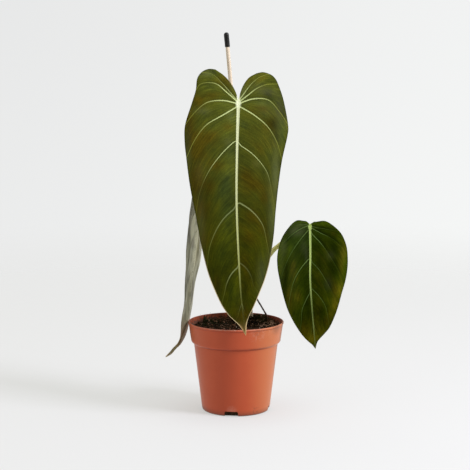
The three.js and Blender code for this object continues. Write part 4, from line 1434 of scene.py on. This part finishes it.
def pot_inside(name, s):
    """The inner wall, with soil smeared on it up to a little below the lip"""
    material, f = new_finish(name)
    place = f.place()
    _, _, high = f.parts(place)
    mottle = f.noise(place, 0.35, 4)
    tone = f.mix(mottle.rise(0.3, 0.7), (0.30, 0.060, 0.022), (0.19, 0.050, 0.022))
    smear = (mottle + high.rise(POT_HEIGHT - 1, SOIL_LEVEL) * 0.35 - 0.1).rise(0.45, 0.65)
    tone = f.mix(smear * 0.85, tone, s.dirt)
    f.surface(
        Base_Color=tone, Roughness=0.6 + (mottle - 0.5) * 0.2, Specular_IOR_Level=0.2,
        Normal=f.bump(mottle, 0.2, 0.5),
    )
    return material


class PHILODENDRON_OT_pot(bpy.types.Operator):
    """Make the nursery pot with its drain slots"""

    bl_idname = "philodendron.pot"
    bl_label = "Pot"

    def execute(self, context):
        s = context.scene.philodendron_pot

        def out_of_round(angle, high):
            return 0.12 * np.sin(2 * angle + 0.7) * (high / POT_HEIGHT) ** 2

        profile = pot_profile()
        points, faces = turned(profile, s.sides, out_of_round)
        lip = max(range(len(profile)), key=lambda number: profile[number][1]) + 1
        outer_faces = (lip - 1) * s.sides
        kinds = [0 if number < outer_faces else 1 for number in range(len(faces))]
        kinds[-2 * s.sides::2] = [0] * s.sides
        finishes = [pot_finish("terracotta_plastic", s), pot_inside("pot_inner_wall", s)]
        pot = make_piece("fine_pot", points, faces, finishes, kinds)
        turns = [SLOT["turn"] + number * 360 / SLOT["count"] for number in range(SLOT["count"])]
        cut_away(pot, [slot_cutter(degrees) for degrees in turns])
        pot.data.shade_smooth()
        pot.data.set_sharp_from_angle(angle=math.radians(35))
        settle(pot, "pot_plastic", "pot")
        return {"FINISHED"}


# Soil: a lumpy surface in the pot, with crumbs, bark, perlite, fibres and sprigs on it

SOIL_LEVEL = 104.3
HEAP = {"x": 27, "y": 38, "spread_x": 19, "spread_y": 24, "height": 5.5}
LUMP = 0.8
GAP = 0.45
SOIL_LIFT = 0.3
SOIL_EDGE = {"crowd": 50, "sprig": 51, "fibre": 53}

# Soft patches on the soil. A green film has grown at the left, and on the heap right of the front
# leaf's tip. Bits of bark lie closer together along the back wall and at the right. The mix carries
# painted shade in the hollow at the left and in the middle of the heap.

MOSS = [(-30, 24, 14, 18, 1), (37, 34, 13, 18, 1.3)]
RED = [(-16, 50, 24, 12, 1), (50, 16, 9, 26, 1)]
SOIL_SHADE = [(-28, 16, 16, 16, 1), (18, 16, 11, 20, 1)]


def soil_height(x, y):
    heap = soft_patches(x, y, [HEAP.values()])
    slope = 0.05 * np.maximum(y, 0) + 0.03 * np.minimum(x, 0)
    lumps = np.sin(0.52 * x + 0.9) * np.cos(0.47 * y) + 0.6 * np.sin(0.31 * (x + y) + 0.23 * y)
    return SOIL_LEVEL + heap + slope + LUMP * lumps


def soil_reach(angle):
    edge = inner_radius(SOIL_LEVEL) - GAP
    top = soil_height(edge * np.cos(angle), edge * np.sin(angle))
    return inner_radius(np.minimum(top, POT_HEIGHT)) - GAP


def soil_finish(name, s):
    material, f = new_finish(name)
    place = f.place()
    tone_reading, moss = f.reading("tone"), f.reading("moss")
    grain = f.noise(place, 0.8, 4)
    fleck = f.noise(place, 2.5, 2)
    tone = f.mix((grain.rise(0.45, 0.75) * 0.3 + tone_reading * 0.6).at_most(1), s.peat, s.bark)
    tone = f.mix(moss * fleck.rise(0.35, 0.55) * 0.9, tone, s.moss)
    # Painted shade: the mix is up to 72 per cent darker where the shade patches lie
    tone = f.vectors("SCALE", tone, Scale=1 - f.reading("deep") * 0.72)
    f.surface(
        Base_Color=tone, Roughness=0.9 + (fleck - 0.5) * 0.1, Specular_IOR_Level=0.06,
        Normal=f.bump(grain + fleck * 0.6, 0.6, 0.9),
    )
    return material


ICOSAHEDRON_RATIO = (1 + math.sqrt(5)) / 2


def icosahedron():
    reach = math.hypot(1, ICOSAHEDRON_RATIO)
    a, b = 1 / reach, ICOSAHEDRON_RATIO / reach
    points = np.array([
        (-a, b, 0), (a, b, 0), (-a, -b, 0), (a, -b, 0), (0, -a, b), (0, a, b), (0, -a, -b),
        (0, a, -b), (b, 0, -a), (b, 0, a), (-b, 0, -a), (-b, 0, a),
    ])
    faces = [
        (0, 11, 5), (0, 5, 1), (0, 1, 7), (0, 7, 10), (0, 10, 11), (1, 5, 9), (5, 11, 4),
        (11, 10, 2), (10, 7, 6), (7, 1, 8), (3, 9, 4), (3, 4, 2), (3, 2, 6), (3, 6, 8), (3, 8, 9),
        (4, 9, 5), (2, 4, 11), (6, 2, 10), (8, 6, 7), (9, 8, 1),
    ]
    return points, np.array(faces)


def random_turns(draw, count):
    """Random rotations, from random unit quaternions"""
    w, x, y, z = unit(draw.normal(size=(count, 4))).T
    return np.stack([
        np.stack([1 - 2 * (y * y + z * z), 2 * (x * y - z * w), 2 * (x * z + y * w)], -1),
        np.stack([2 * (x * y + z * w), 1 - 2 * (x * x + z * z), 2 * (y * z - x * w)], -1),
        np.stack([2 * (x * z - y * w), 2 * (y * z + x * w), 1 - 2 * (x * x + y * y)], -1),
    ], 1)


def on_soil(draw, count, clear=1.5):
    """Random places on the soil"""
    angle = draw.uniform(0, 2 * np.pi, count)
    radius = np.sqrt(draw.uniform(0, 1, count)) * (soil_reach(angle) - clear)
    x, y = radius * np.cos(angle), radius * np.sin(angle)
    return np.stack([x, y, soil_height(x, y)], -1)


def scatter(draw, places, sizes, shape):
    """One mesh of many lumps: shape gives the length of each lump's three axes"""
    base, faces = icosahedron()
    count = len(places)
    rough = 1 + draw.uniform(-0.28, 0.28, (count, len(base), 1))
    lumps = base * rough * (sizes[:, None, None] * shape[:, None, :])
    lumps = np.einsum("nij,nkj->nki", random_turns(draw, count), lumps) + places[:, None]
    shifted = faces[None] + (np.arange(count) * len(base))[:, None, None]
    return lumps.reshape(-1, 3), shifted.reshape(-1, 3).tolist(), len(base)


def share_at(places, patches):
    """From 0 to 1, how much of the soft patches each place has"""
    return np.clip(soft_patches(places[:, 0], places[:, 1], patches), 0, 1)


class PHILODENDRON_OT_soil(bpy.types.Operator):
    """Make the potting mix and everything that lies in it"""

    bl_idname = "philodendron.soil"
    bl_label = "Soil"

    def execute(self, context):
        s = context.scene.philodendron_soil
        draw = np.random.default_rng(41)
        finish = soil_finish("potting_mix", s)
        self.make_bed(finish)
        self.make_crumbs(draw, s, finish)
        self.make_chips(draw, s)
        self.make_grains(draw, s)
        self.make_fibres(draw, s)
        self.make_sprigs(draw)
        return {"FINISHED"}

    def make_bed(self, finish):
        sides, rings = 200, 70
        angle = np.linspace(0, 2 * np.pi, sides, endpoint=False)
        reach = soil_reach(angle)
        points = []
        wall = inner_wall()[:4]
        for level, (radius, height) in enumerate(wall):
            high = np.full(sides, height + (SOIL_LIFT if level == 0 else 0))
            r = radius - GAP
            points.append(np.stack([r * np.cos(angle), r * np.sin(angle), high], -1))
        for share in np.linspace(1, 0.02, rings):
            x, y = share * reach * np.cos(angle), share * reach * np.sin(angle)
            points.append(np.stack([x, y, soil_height(x, y)], -1))
        points = np.array(points)
        top = points[len(wall):]
        clods = bumps(top, 5.5, 1) * 1.1 + bumps(top, 2.2, 2) * 0.8 + bumps(top, 0.9, 4) * 0.4
        top[..., 2] += clods.reshape(top.shape[:2]) - 0.4
        everything = np.vstack([points.reshape(-1, 3), [[0, 0, FLOOR + SOIL_LIFT]], [top[-1].mean(0)]])
        faces = ringed_faces(len(wall) + rings, sides)
        tone = 0.1 + 0.3 * bumps(everything, 4, 9) + 0.7 * share_at(everything, RED)
        numbers = {"tone": tone, "moss": share_at(everything, MOSS), "deep": share_at(everything, SOIL_SHADE)}
        bed = make_piece("fine_soil", everything, faces, [finish], None, numbers)
        settle(bed, "potting_soil", "soil")

    def make_crumbs(self, draw, s, finish):
        size = s.crumb_size / MM
        places = on_soil(draw, s.crumbs)
        sizes = size * draw.lognormal(0, 0.45, s.crumbs).clip(0.4, 2.6) * 0.5
        places[:, 2] += sizes * draw.uniform(-0.2, 0.9, s.crumbs)
        shape = draw.uniform(0.6, 1.35, (s.crumbs, 3))
        points, faces, each = scatter(draw, places, sizes, shape)
        tone = draw.uniform(0, 1, s.crumbs) ** 3 * 0.8 + 0.7 * share_at(places, RED)
        moss = share_at(places, MOSS) * draw.uniform(0, 1.3, s.crumbs)
        # Crumbs in the painted shade patches are darker too
        deep = share_at(places, SOIL_SHADE) * draw.uniform(0.5, 1.2, s.crumbs)
        numbers = {"tone": tone, "moss": moss, "deep": deep}
        numbers = {key: np.repeat(np.clip(values, 0, 1), each) for key, values in numbers.items()}
        crumbs = make_piece("soil_crumbs", points, faces, [finish], None, numbers, crease=40)
        settle(crumbs, "potting_soil")

    def make_chips(self, draw, s):
        material, f = new_finish("bark_chip")
        place = f.place()
        grain = f.noise(f.vectors("MULTIPLY", place, (0.8, 0.8, 2.5)), 1.0, 4)
        tone = f.mix(grain.rise(0.3, 0.7), s.peat, s.bark)
        tone = f.mix(f.reading("tone") * 0.6, tone, (0.20, 0.11, 0.06))
        f.surface(
            Base_Color=tone, Roughness=0.85 + (grain - 0.5) * 0.1, Specular_IOR_Level=0.08,
            Normal=f.bump(grain, 0.5, 0.8),
        )
        places = on_soil(draw, s.chips, clear=4)
        sizes = draw.uniform(1.6, 3.6, s.chips)
        places[:, 2] += sizes * 0.25
        shape = np.stack([np.full(s.chips, 1.0), draw.uniform(0.4, 0.8, s.chips), np.full(s.chips, 0.3)], -1)
        points, faces, each = scatter(draw, places, sizes, shape)
        tone = np.repeat(draw.uniform(0, 1, s.chips) ** 2, each)
        chips = make_piece("bark_chips", points, faces, [material], None, {"tone": tone}, crease=35)
        settle(chips, "potting_soil")

    def make_grains(self, draw, s):
        material, f = new_finish("perlite")
        pits = f.noise(f.place(), 2.0, 3)
        tone = f.mix(pits.rise(0.35, 0.65), (0.36, 0.29, 0.21), (0.66, 0.58, 0.48))
        f.surface(
            Base_Color=tone, Roughness=0.8 + (pits - 0.5) * 0.1, Specular_IOR_Level=0.1,
            Normal=f.bump(pits, 0.4, 0.9),
        )
        places = on_soil(draw, s.grains, clear=3)
        seen = np.array([
            [-42, 27, 0], [-39, 17, 0], [26, 48, 0], [22, 49, 0], [33, 44, 0],
        ])
        seen[:, 2] = soil_height(seen[:, 0], seen[:, 1])
        places = np.vstack([places, seen])
        count = len(places)
        sizes = draw.uniform(0.35, 0.75, count)
        places[:, 2] += sizes * 0.7
        points, faces, _ = scatter(draw, places, sizes, draw.uniform(0.7, 1.2, (count, 3)))
        grains = make_piece("perlite_grains", points, faces, [material], crease=40)
        settle(grains, "potting_soil")

    def make_fibres(self, draw, s):
        material, f = new_finish("coir_fibre")
        shade = f.noise(f.place(), 1.2, 2)
        tone = f.mix(shade.rise(0.35, 0.7), s.fibre, (0.12, 0.07, 0.04))
        f.surface(Base_Color=tone, Roughness=0.75 + (shade - 0.5) * 0.1, Specular_IOR_Level=0.1)
        starts = on_soil(draw, s.fibres, clear=6)
        crowd = s.fibres // 2
        line = np.array([(31, 8), (38, 3), (44, 8), (46, 18), (47, 28)])
        around = through(line, draw.uniform(0, 4, crowd)) + draw.normal(size=(crowd, 2)) * 2.2
        far = np.linalg.norm(around, axis=1) / SOIL_EDGE["crowd"]
        starts[:crowd, :2] = around / np.maximum(far, 1)[:, None]
        points, faces, steps, sides = [], [], 9, 4
        for number, start in enumerate(starts):
            heading = draw.uniform(0, 2 * np.pi)
            curl = draw.normal(0, 0.25)
            lift = draw.uniform(0.2, 1.6)
            reach = draw.uniform(3, 8)
            thick = draw.uniform(0.15, 0.45) if number < crowd else 0.12
            line = []
            x, y = start[:2]
            for step in range(steps):
                t = step / (steps - 1)
                high = soil_height(x, y) + 0.4 + lift * math.sin(math.pi * t)
                line.append((x, y, high))
                x += reach / steps * math.cos(heading)
                y += reach / steps * math.sin(heading)
                heading += curl
                if math.hypot(x, y) > SOIL_EDGE["fibre"]:
                    heading += math.pi / 2
            path = Path(line, 4)
            rings, *_ = tube(
                path, np.linspace(0, path.total, steps),
                lambda share, angle: thick * (1 + 0.3 * np.sin(share * 9)) + 0 * angle, sides,
            )
            own_points, own_faces = close_tube(rings)
            base = sum(len(batch) for batch in points)
            points.append(own_points)
            faces += [tuple(base + corner for corner in face) for face in own_faces]
        fibres = make_piece("coir_fibres", np.vstack(points), faces, [material])
        settle(fibres, "potting_soil")

    def make_sprigs(self, draw):
        """Small dark green blades that stand in tufts"""
        material, f = new_finish("moss_blade")
        shade = f.noise(f.place(), 0.9, 2)
        tone = f.mix(shade.rise(0.3, 0.7), (0.012, 0.018, 0.005), (0.040, 0.055, 0.012))
        f.surface(Base_Color=tone, Roughness=0.6 + (shade - 0.5) * 0.1, Specular_IOR_Level=0.1)
        tufts = [(-40, 32, 34, 12), (-32, 30, 30, 5), (-22, 26, 26, 3.5), (-38, 18, 18, 3.5),
                 (34, 42, 26, 3.5), (39, 30, 26, 3.5), (-8, 20, 18, 3.0), (28, 28, 20, 3)]
        points, faces = [], []
        for x, y, count, tall in tufts:
            for _ in range(count):
                foot = np.array([x, y]) + draw.normal(size=2) * 2.6
                foot *= min(1, SOIL_EDGE["sprig"] / np.linalg.norm(foot))
                lean = draw.uniform(0, 2 * np.pi)
                height = tall * draw.uniform(0.45, 1)
                out = np.array([math.cos(lean), math.sin(lean), 0]) * height * draw.uniform(0.15, 0.7)
                side = np.array([-math.sin(lean), math.cos(lean), 0]) * draw.uniform(0.25, 0.6)
                base = np.array([*foot, soil_height(*foot) - 0.4])
                own = []
                for t in (0, 0.35, 0.7, 1):
                    spine = base + out * t**1.6 + np.array([0, 0, height * t])
                    wide = (1 - t**2) * (0.5 + t)
                    own += [spine - side * wide, spine + side * wide, spine + np.cross(side, out) * 0.12]
                start = len(points)
                points += own
                for ring in range(3):
                    for corner in range(3):
                        a = start + ring * 3 + corner
                        b = start + ring * 3 + (corner + 1) % 3
                        faces.append((a, b, b + 3, a + 3))
                faces.append((start, start + 2, start + 1))
                faces.append((start + 9, start + 10, start + 11))
        sprigs = make_piece("moss_sprigs", np.array(points), faces, [material])
        settle(sprigs, "potting_soil")


# Stake: a straight dowel with a black dipped tip

STAKE_FOOT = np.array([23.8, 36.7, 63.7])
STAKE_TOP = np.array([-12.2, 48, 472])
STAKE_RADIUS = 2.5
TIP_RADIUS = 3.2
TIP_LENGTH = 18.4


def along_stake(points):
    """Points about an upright axis, moved on to the leaning stake"""
    up = unit(STAKE_TOP - STAKE_FOOT)
    across = unit(np.cross([0, 1, 0], up))
    return STAKE_FOOT + points @ np.stack([across, np.cross(up, across), up])


class PHILODENDRON_OT_stake(bpy.types.Operator):
    """Make the wooden stake and its black tip"""

    bl_idname = "philodendron.stake"
    bl_label = "Stake"

    def execute(self, context):
        s = context.scene.philodendron_stake
        length_of_all = float(np.linalg.norm(STAKE_TOP - STAKE_FOOT))
        self.make_dowel(s, length_of_all - TIP_LENGTH)
        self.make_tip(s, length_of_all)
        return {"FINISHED"}

    def make_dowel(self, s, length_of_wood):
        def grooves(angle, high):
            fine = 0.03 * np.sin(17 * angle + 0.02 * high) + 0.02 * np.sin(31 * angle - 0.03 * high)
            return fine + 0.05 * np.sin(0.011 * high + 2 * angle)

        profile = spaced(rounded([
            (0, 0, 0), (STAKE_RADIUS, 0, 0.4), (STAKE_RADIUS, length_of_wood, 0.1), (0, length_of_wood, 0),
        ]), 4)
        points, faces = turned(profile, 48, grooves)
        material, f = new_finish("stake_wood_pale")
        along = f.reading("along")
        turn_x, turn_y = f.reading("turn_x"), f.reading("turn_y")
        spot = f.vector(turn_x * 1.1, turn_y * 1.1, along * 0.02)
        grain = f.noise(spot, 1.0, 4, 0.65)
        line = f.noise(f.vector(turn_x * 5, turn_y * 5, along * 0.05), 1.0, 2)
        tone = f.mix(grain.rise(0.35, 0.7) * 0.5 + line.rise(0.5, 0.7) * 0.35, s.wood, s.grain)
        f.surface(
            Base_Color=tone, Roughness=0.6 + (line - 0.5) * 0.2, Specular_IOR_Level=0.3,
            Normal=f.bump(line, 0.15, 0.7),
        )
        numbers = {"along": points[:, 2], "turn_x": points[:, 0], "turn_y": points[:, 1]}
        dowel = make_piece("fine_stake", along_stake(points), faces, [material], None, numbers, crease=50)
        settle(dowel, "stake_wood", "stake")

    def make_tip(self, s, length_of_all):
        foot = length_of_all - TIP_LENGTH
        centre = length_of_all - TIP_RADIUS
        dome = [
            (TIP_RADIUS * math.cos(turn), centre + TIP_RADIUS * math.sin(turn))
            for turn in map(math.radians, range(0, 90, 9))
        ]
        wall = [(TIP_RADIUS - 0.5, foot), (TIP_RADIUS - 0.12, foot + 0.35), (TIP_RADIUS, foot + 1)]
        profile = spaced([(0, foot), *wall, *dome, (0, length_of_all)], 1.2)

        def dipped(angle, high):
            low = np.exp(-((high - foot) / 2.5))
            return 0.05 * np.sin(3 * angle + 0.4 * high) + 0.1 * low * np.sin(5 * angle + 1)

        points, faces = turned(profile, 48, dipped)
        material, f = new_finish("black_dip")
        dust = f.noise(f.place(), 0.9, 4)
        tone = f.mix(dust.rise(0.5, 0.8) * 0.6, s.tip, (0.030, 0.030, 0.024))
        f.surface(
            Base_Color=tone, Roughness=0.42 + (dust - 0.5) * 0.35, Specular_IOR_Level=0.25,
            Normal=f.bump(dust, 0.3, 0.6),
        )
        tip = make_piece("fine_stake_tip", along_stake(points), faces, [material], crease=60)
        settle(tip, "tip_black", "stake_tip")


# Stage: camera, paper floor, pale backdrop and soft light

class PHILODENDRON_OT_stage(bpy.types.Operator):
    """Make the camera, the floor, the backdrop and the lights"""

    bl_idname = "philodendron.stage"
    bl_label = "Stage"

    def execute(self, context):
        s = context.scene.philodendron_stage
        context.scene.view_settings.view_transform = "Standard"
        self.make_camera(context, s)
        self.make_floor(s)
        self.make_backdrop(context, s)
        self.make_lights(context, s)
        return {"FINISHED"}

    def make_camera(self, context, s):
        lens = bpy.data.cameras.new("studio_camera")
        lens.lens = s.focal_length
        lens.sensor_width = FILM_WIDTH
        lens.clip_end = 50
        camera = bpy.data.objects.new("studio_camera", lens)
        camera.location = s.camera_place
        camera.rotation_euler = (math.pi / 2 - s.camera_tilt, 0, 0)
        context.scene.collection.objects.link(camera)
        context.scene.camera = camera

    def make_floor(self, s):
        sides, rings = 96, 24
        reach = s.floor_radius / MM
        angle = np.linspace(0, 2 * np.pi, sides, endpoint=False)
        radii = np.linspace(0.02, 1, rings) ** 1.5 * reach
        points = [[r * np.cos(a), r * np.sin(a), -0.02] for r in radii for a in angle]
        faces = [face[::-1] for face in lattice(rings, sides, round_it=True)] + [tuple(range(sides))]
        material, f = new_finish("paper_floor")
        place = f.place()
        far = f.vectors("LENGTH", place)
        matte = f.add("ShaderNodeBsdfDiffuse", None, {"Color": f.opaque(s.floor_colour)})
        gone = f.add("ShaderNodeBsdfTransparent")
        # Painted shadow: within about 125 mm of the middle the floor's glow fades by up to 7 per cent, a
        # soft shade around the pot's foot
        painted_contact_shadow = far.rise(125, 40)
        shadow_dimming = f.vectors("SCALE", f.vector(1, 1, 1), Scale=1 - painted_contact_shadow * 0.07)
        glow_tone = f.vectors("MULTIPLY", shadow_dimming, s.floor_glow)
        glow = f.add("ShaderNodeEmission", None, {"Color": glow_tone, "Strength": 1.0})
        lit = f.add("ShaderNodeAddShader", None, {0: matte, 1: glow})
        fade = far.rise(reach * 0.25, reach * 0.95)
        shader = f.add("ShaderNodeMixShader", None, {0: fade, 1: lit, 2: gone})
        f.add_output(shader)
        floor = make_piece("paper_floor", points, faces, [material])

    def make_backdrop(self, context, s):
        world = bpy.data.worlds.new("pale_backdrop")
        world.use_nodes = True
        context.scene.world = world
        f = Finish(world.node_tree)
        direction = f.add("ShaderNodeTexCoord", output="Generated")
        x, _, z = f.parts(direction)
        right = x.rise(-0.2, 0.2) * 0.75 + z.rise(0.03, -0.15) * 0.25
        tone = f.mix(right, s.backdrop_dark, s.backdrop_light)
        light = f.add("ShaderNodeBackground", None, {"Color": tone, "Strength": 1.0})
        output = f.tree.nodes.new("ShaderNodeOutputWorld")
        f.tree.links.new(light.socket, output.inputs["Surface"])

    def make_lights(self, context, s):
        key = bpy.data.lights.new("soft_box", "AREA")
        key.shape = "RECTANGLE"
        key.size, key.size_y = 0.6, 0.7
        key.energy = s.key_power
        key.color = (0.96, 0.96, 1.1)
        box = bpy.data.objects.new("soft_box", key)
        box.location = (1.35, -0.75, 1.45)
        aim = Vector((0, 0, 0.2)) - Vector(box.location)
        box.rotation_euler = aim.to_track_quat("-Z", "Y").to_euler()
        box.visible_camera = False
        context.scene.collection.objects.link(box)

        # A dark card behind the camera, which only the reflections and shades see
        material, f = new_finish("black_card")
        f.add_output(f.add("ShaderNodeBsdfDiffuse", None, {"Color": (0.04, 0.04, 0.04, 1)}))
        half, low, high, far = 1700, -200, 2300, -2600
        points = [(-half, far, low), (half, far, low), (half, far, high), (-half, far, high)]
        card = make_piece("black_card", points, [(0, 1, 2, 3)], [material])
        card.visible_camera = False


class VIEW3D_PT_philodendron(bpy.types.Panel):
    """Lists the makers of the plant's pieces, each with its sizes and colours"""

    bl_label = "Potted philodendron"
    bl_space_type = "VIEW_3D"
    bl_region_type = "UI"
    bl_category = "Philodendron"

    def draw(self, context):
        for maker, settings_name in MAKERS:
            self.layout.operator(maker.bl_idname)
            settings = getattr(context.scene, settings_name)
            for key in settings.__annotations__:
                self.layout.prop(settings, key)


SETTINGS = {
    "philodendron_stage": StageSettings,
    "philodendron_blades": BladeSettings,
    "philodendron_stalks": StalkSettings,
    "philodendron_pot": PotSettings,
    "philodendron_soil": SoilSettings,
    "philodendron_stake": StakeSettings,
}
MAKERS = [
    (PHILODENDRON_OT_stage, "philodendron_stage"),
    (PHILODENDRON_OT_blades, "philodendron_blades"),
    (PHILODENDRON_OT_stalks, "philodendron_stalks"),
    (PHILODENDRON_OT_pot, "philodendron_pot"),
    (PHILODENDRON_OT_soil, "philodendron_soil"),
    (PHILODENDRON_OT_stake, "philodendron_stake"),
]


def register():
    for name, group in SETTINGS.items():
        bpy.utils.register_class(group)
        setattr(bpy.types.Scene, name, PointerProperty(type=group))
    for maker, _ in MAKERS:
        bpy.utils.register_class(maker)
    bpy.utils.register_class(VIEW3D_PT_philodendron)


def unregister():
    bpy.utils.unregister_class(VIEW3D_PT_philodendron)
    for maker, _ in reversed(MAKERS):
        bpy.utils.unregister_class(maker)
    for name, group in SETTINGS.items():
        delattr(bpy.types.Scene, name)
        bpy.utils.unregister_class(group)


def main():
    register()
    bpy.ops.philodendron.stage()
    bpy.ops.philodendron.blades()
    bpy.ops.philodendron.stalks()
    bpy.ops.philodendron.pot()
    bpy.ops.philodendron.soil()
    bpy.ops.philodendron.stake()


if __name__ == "__main__":
    main()
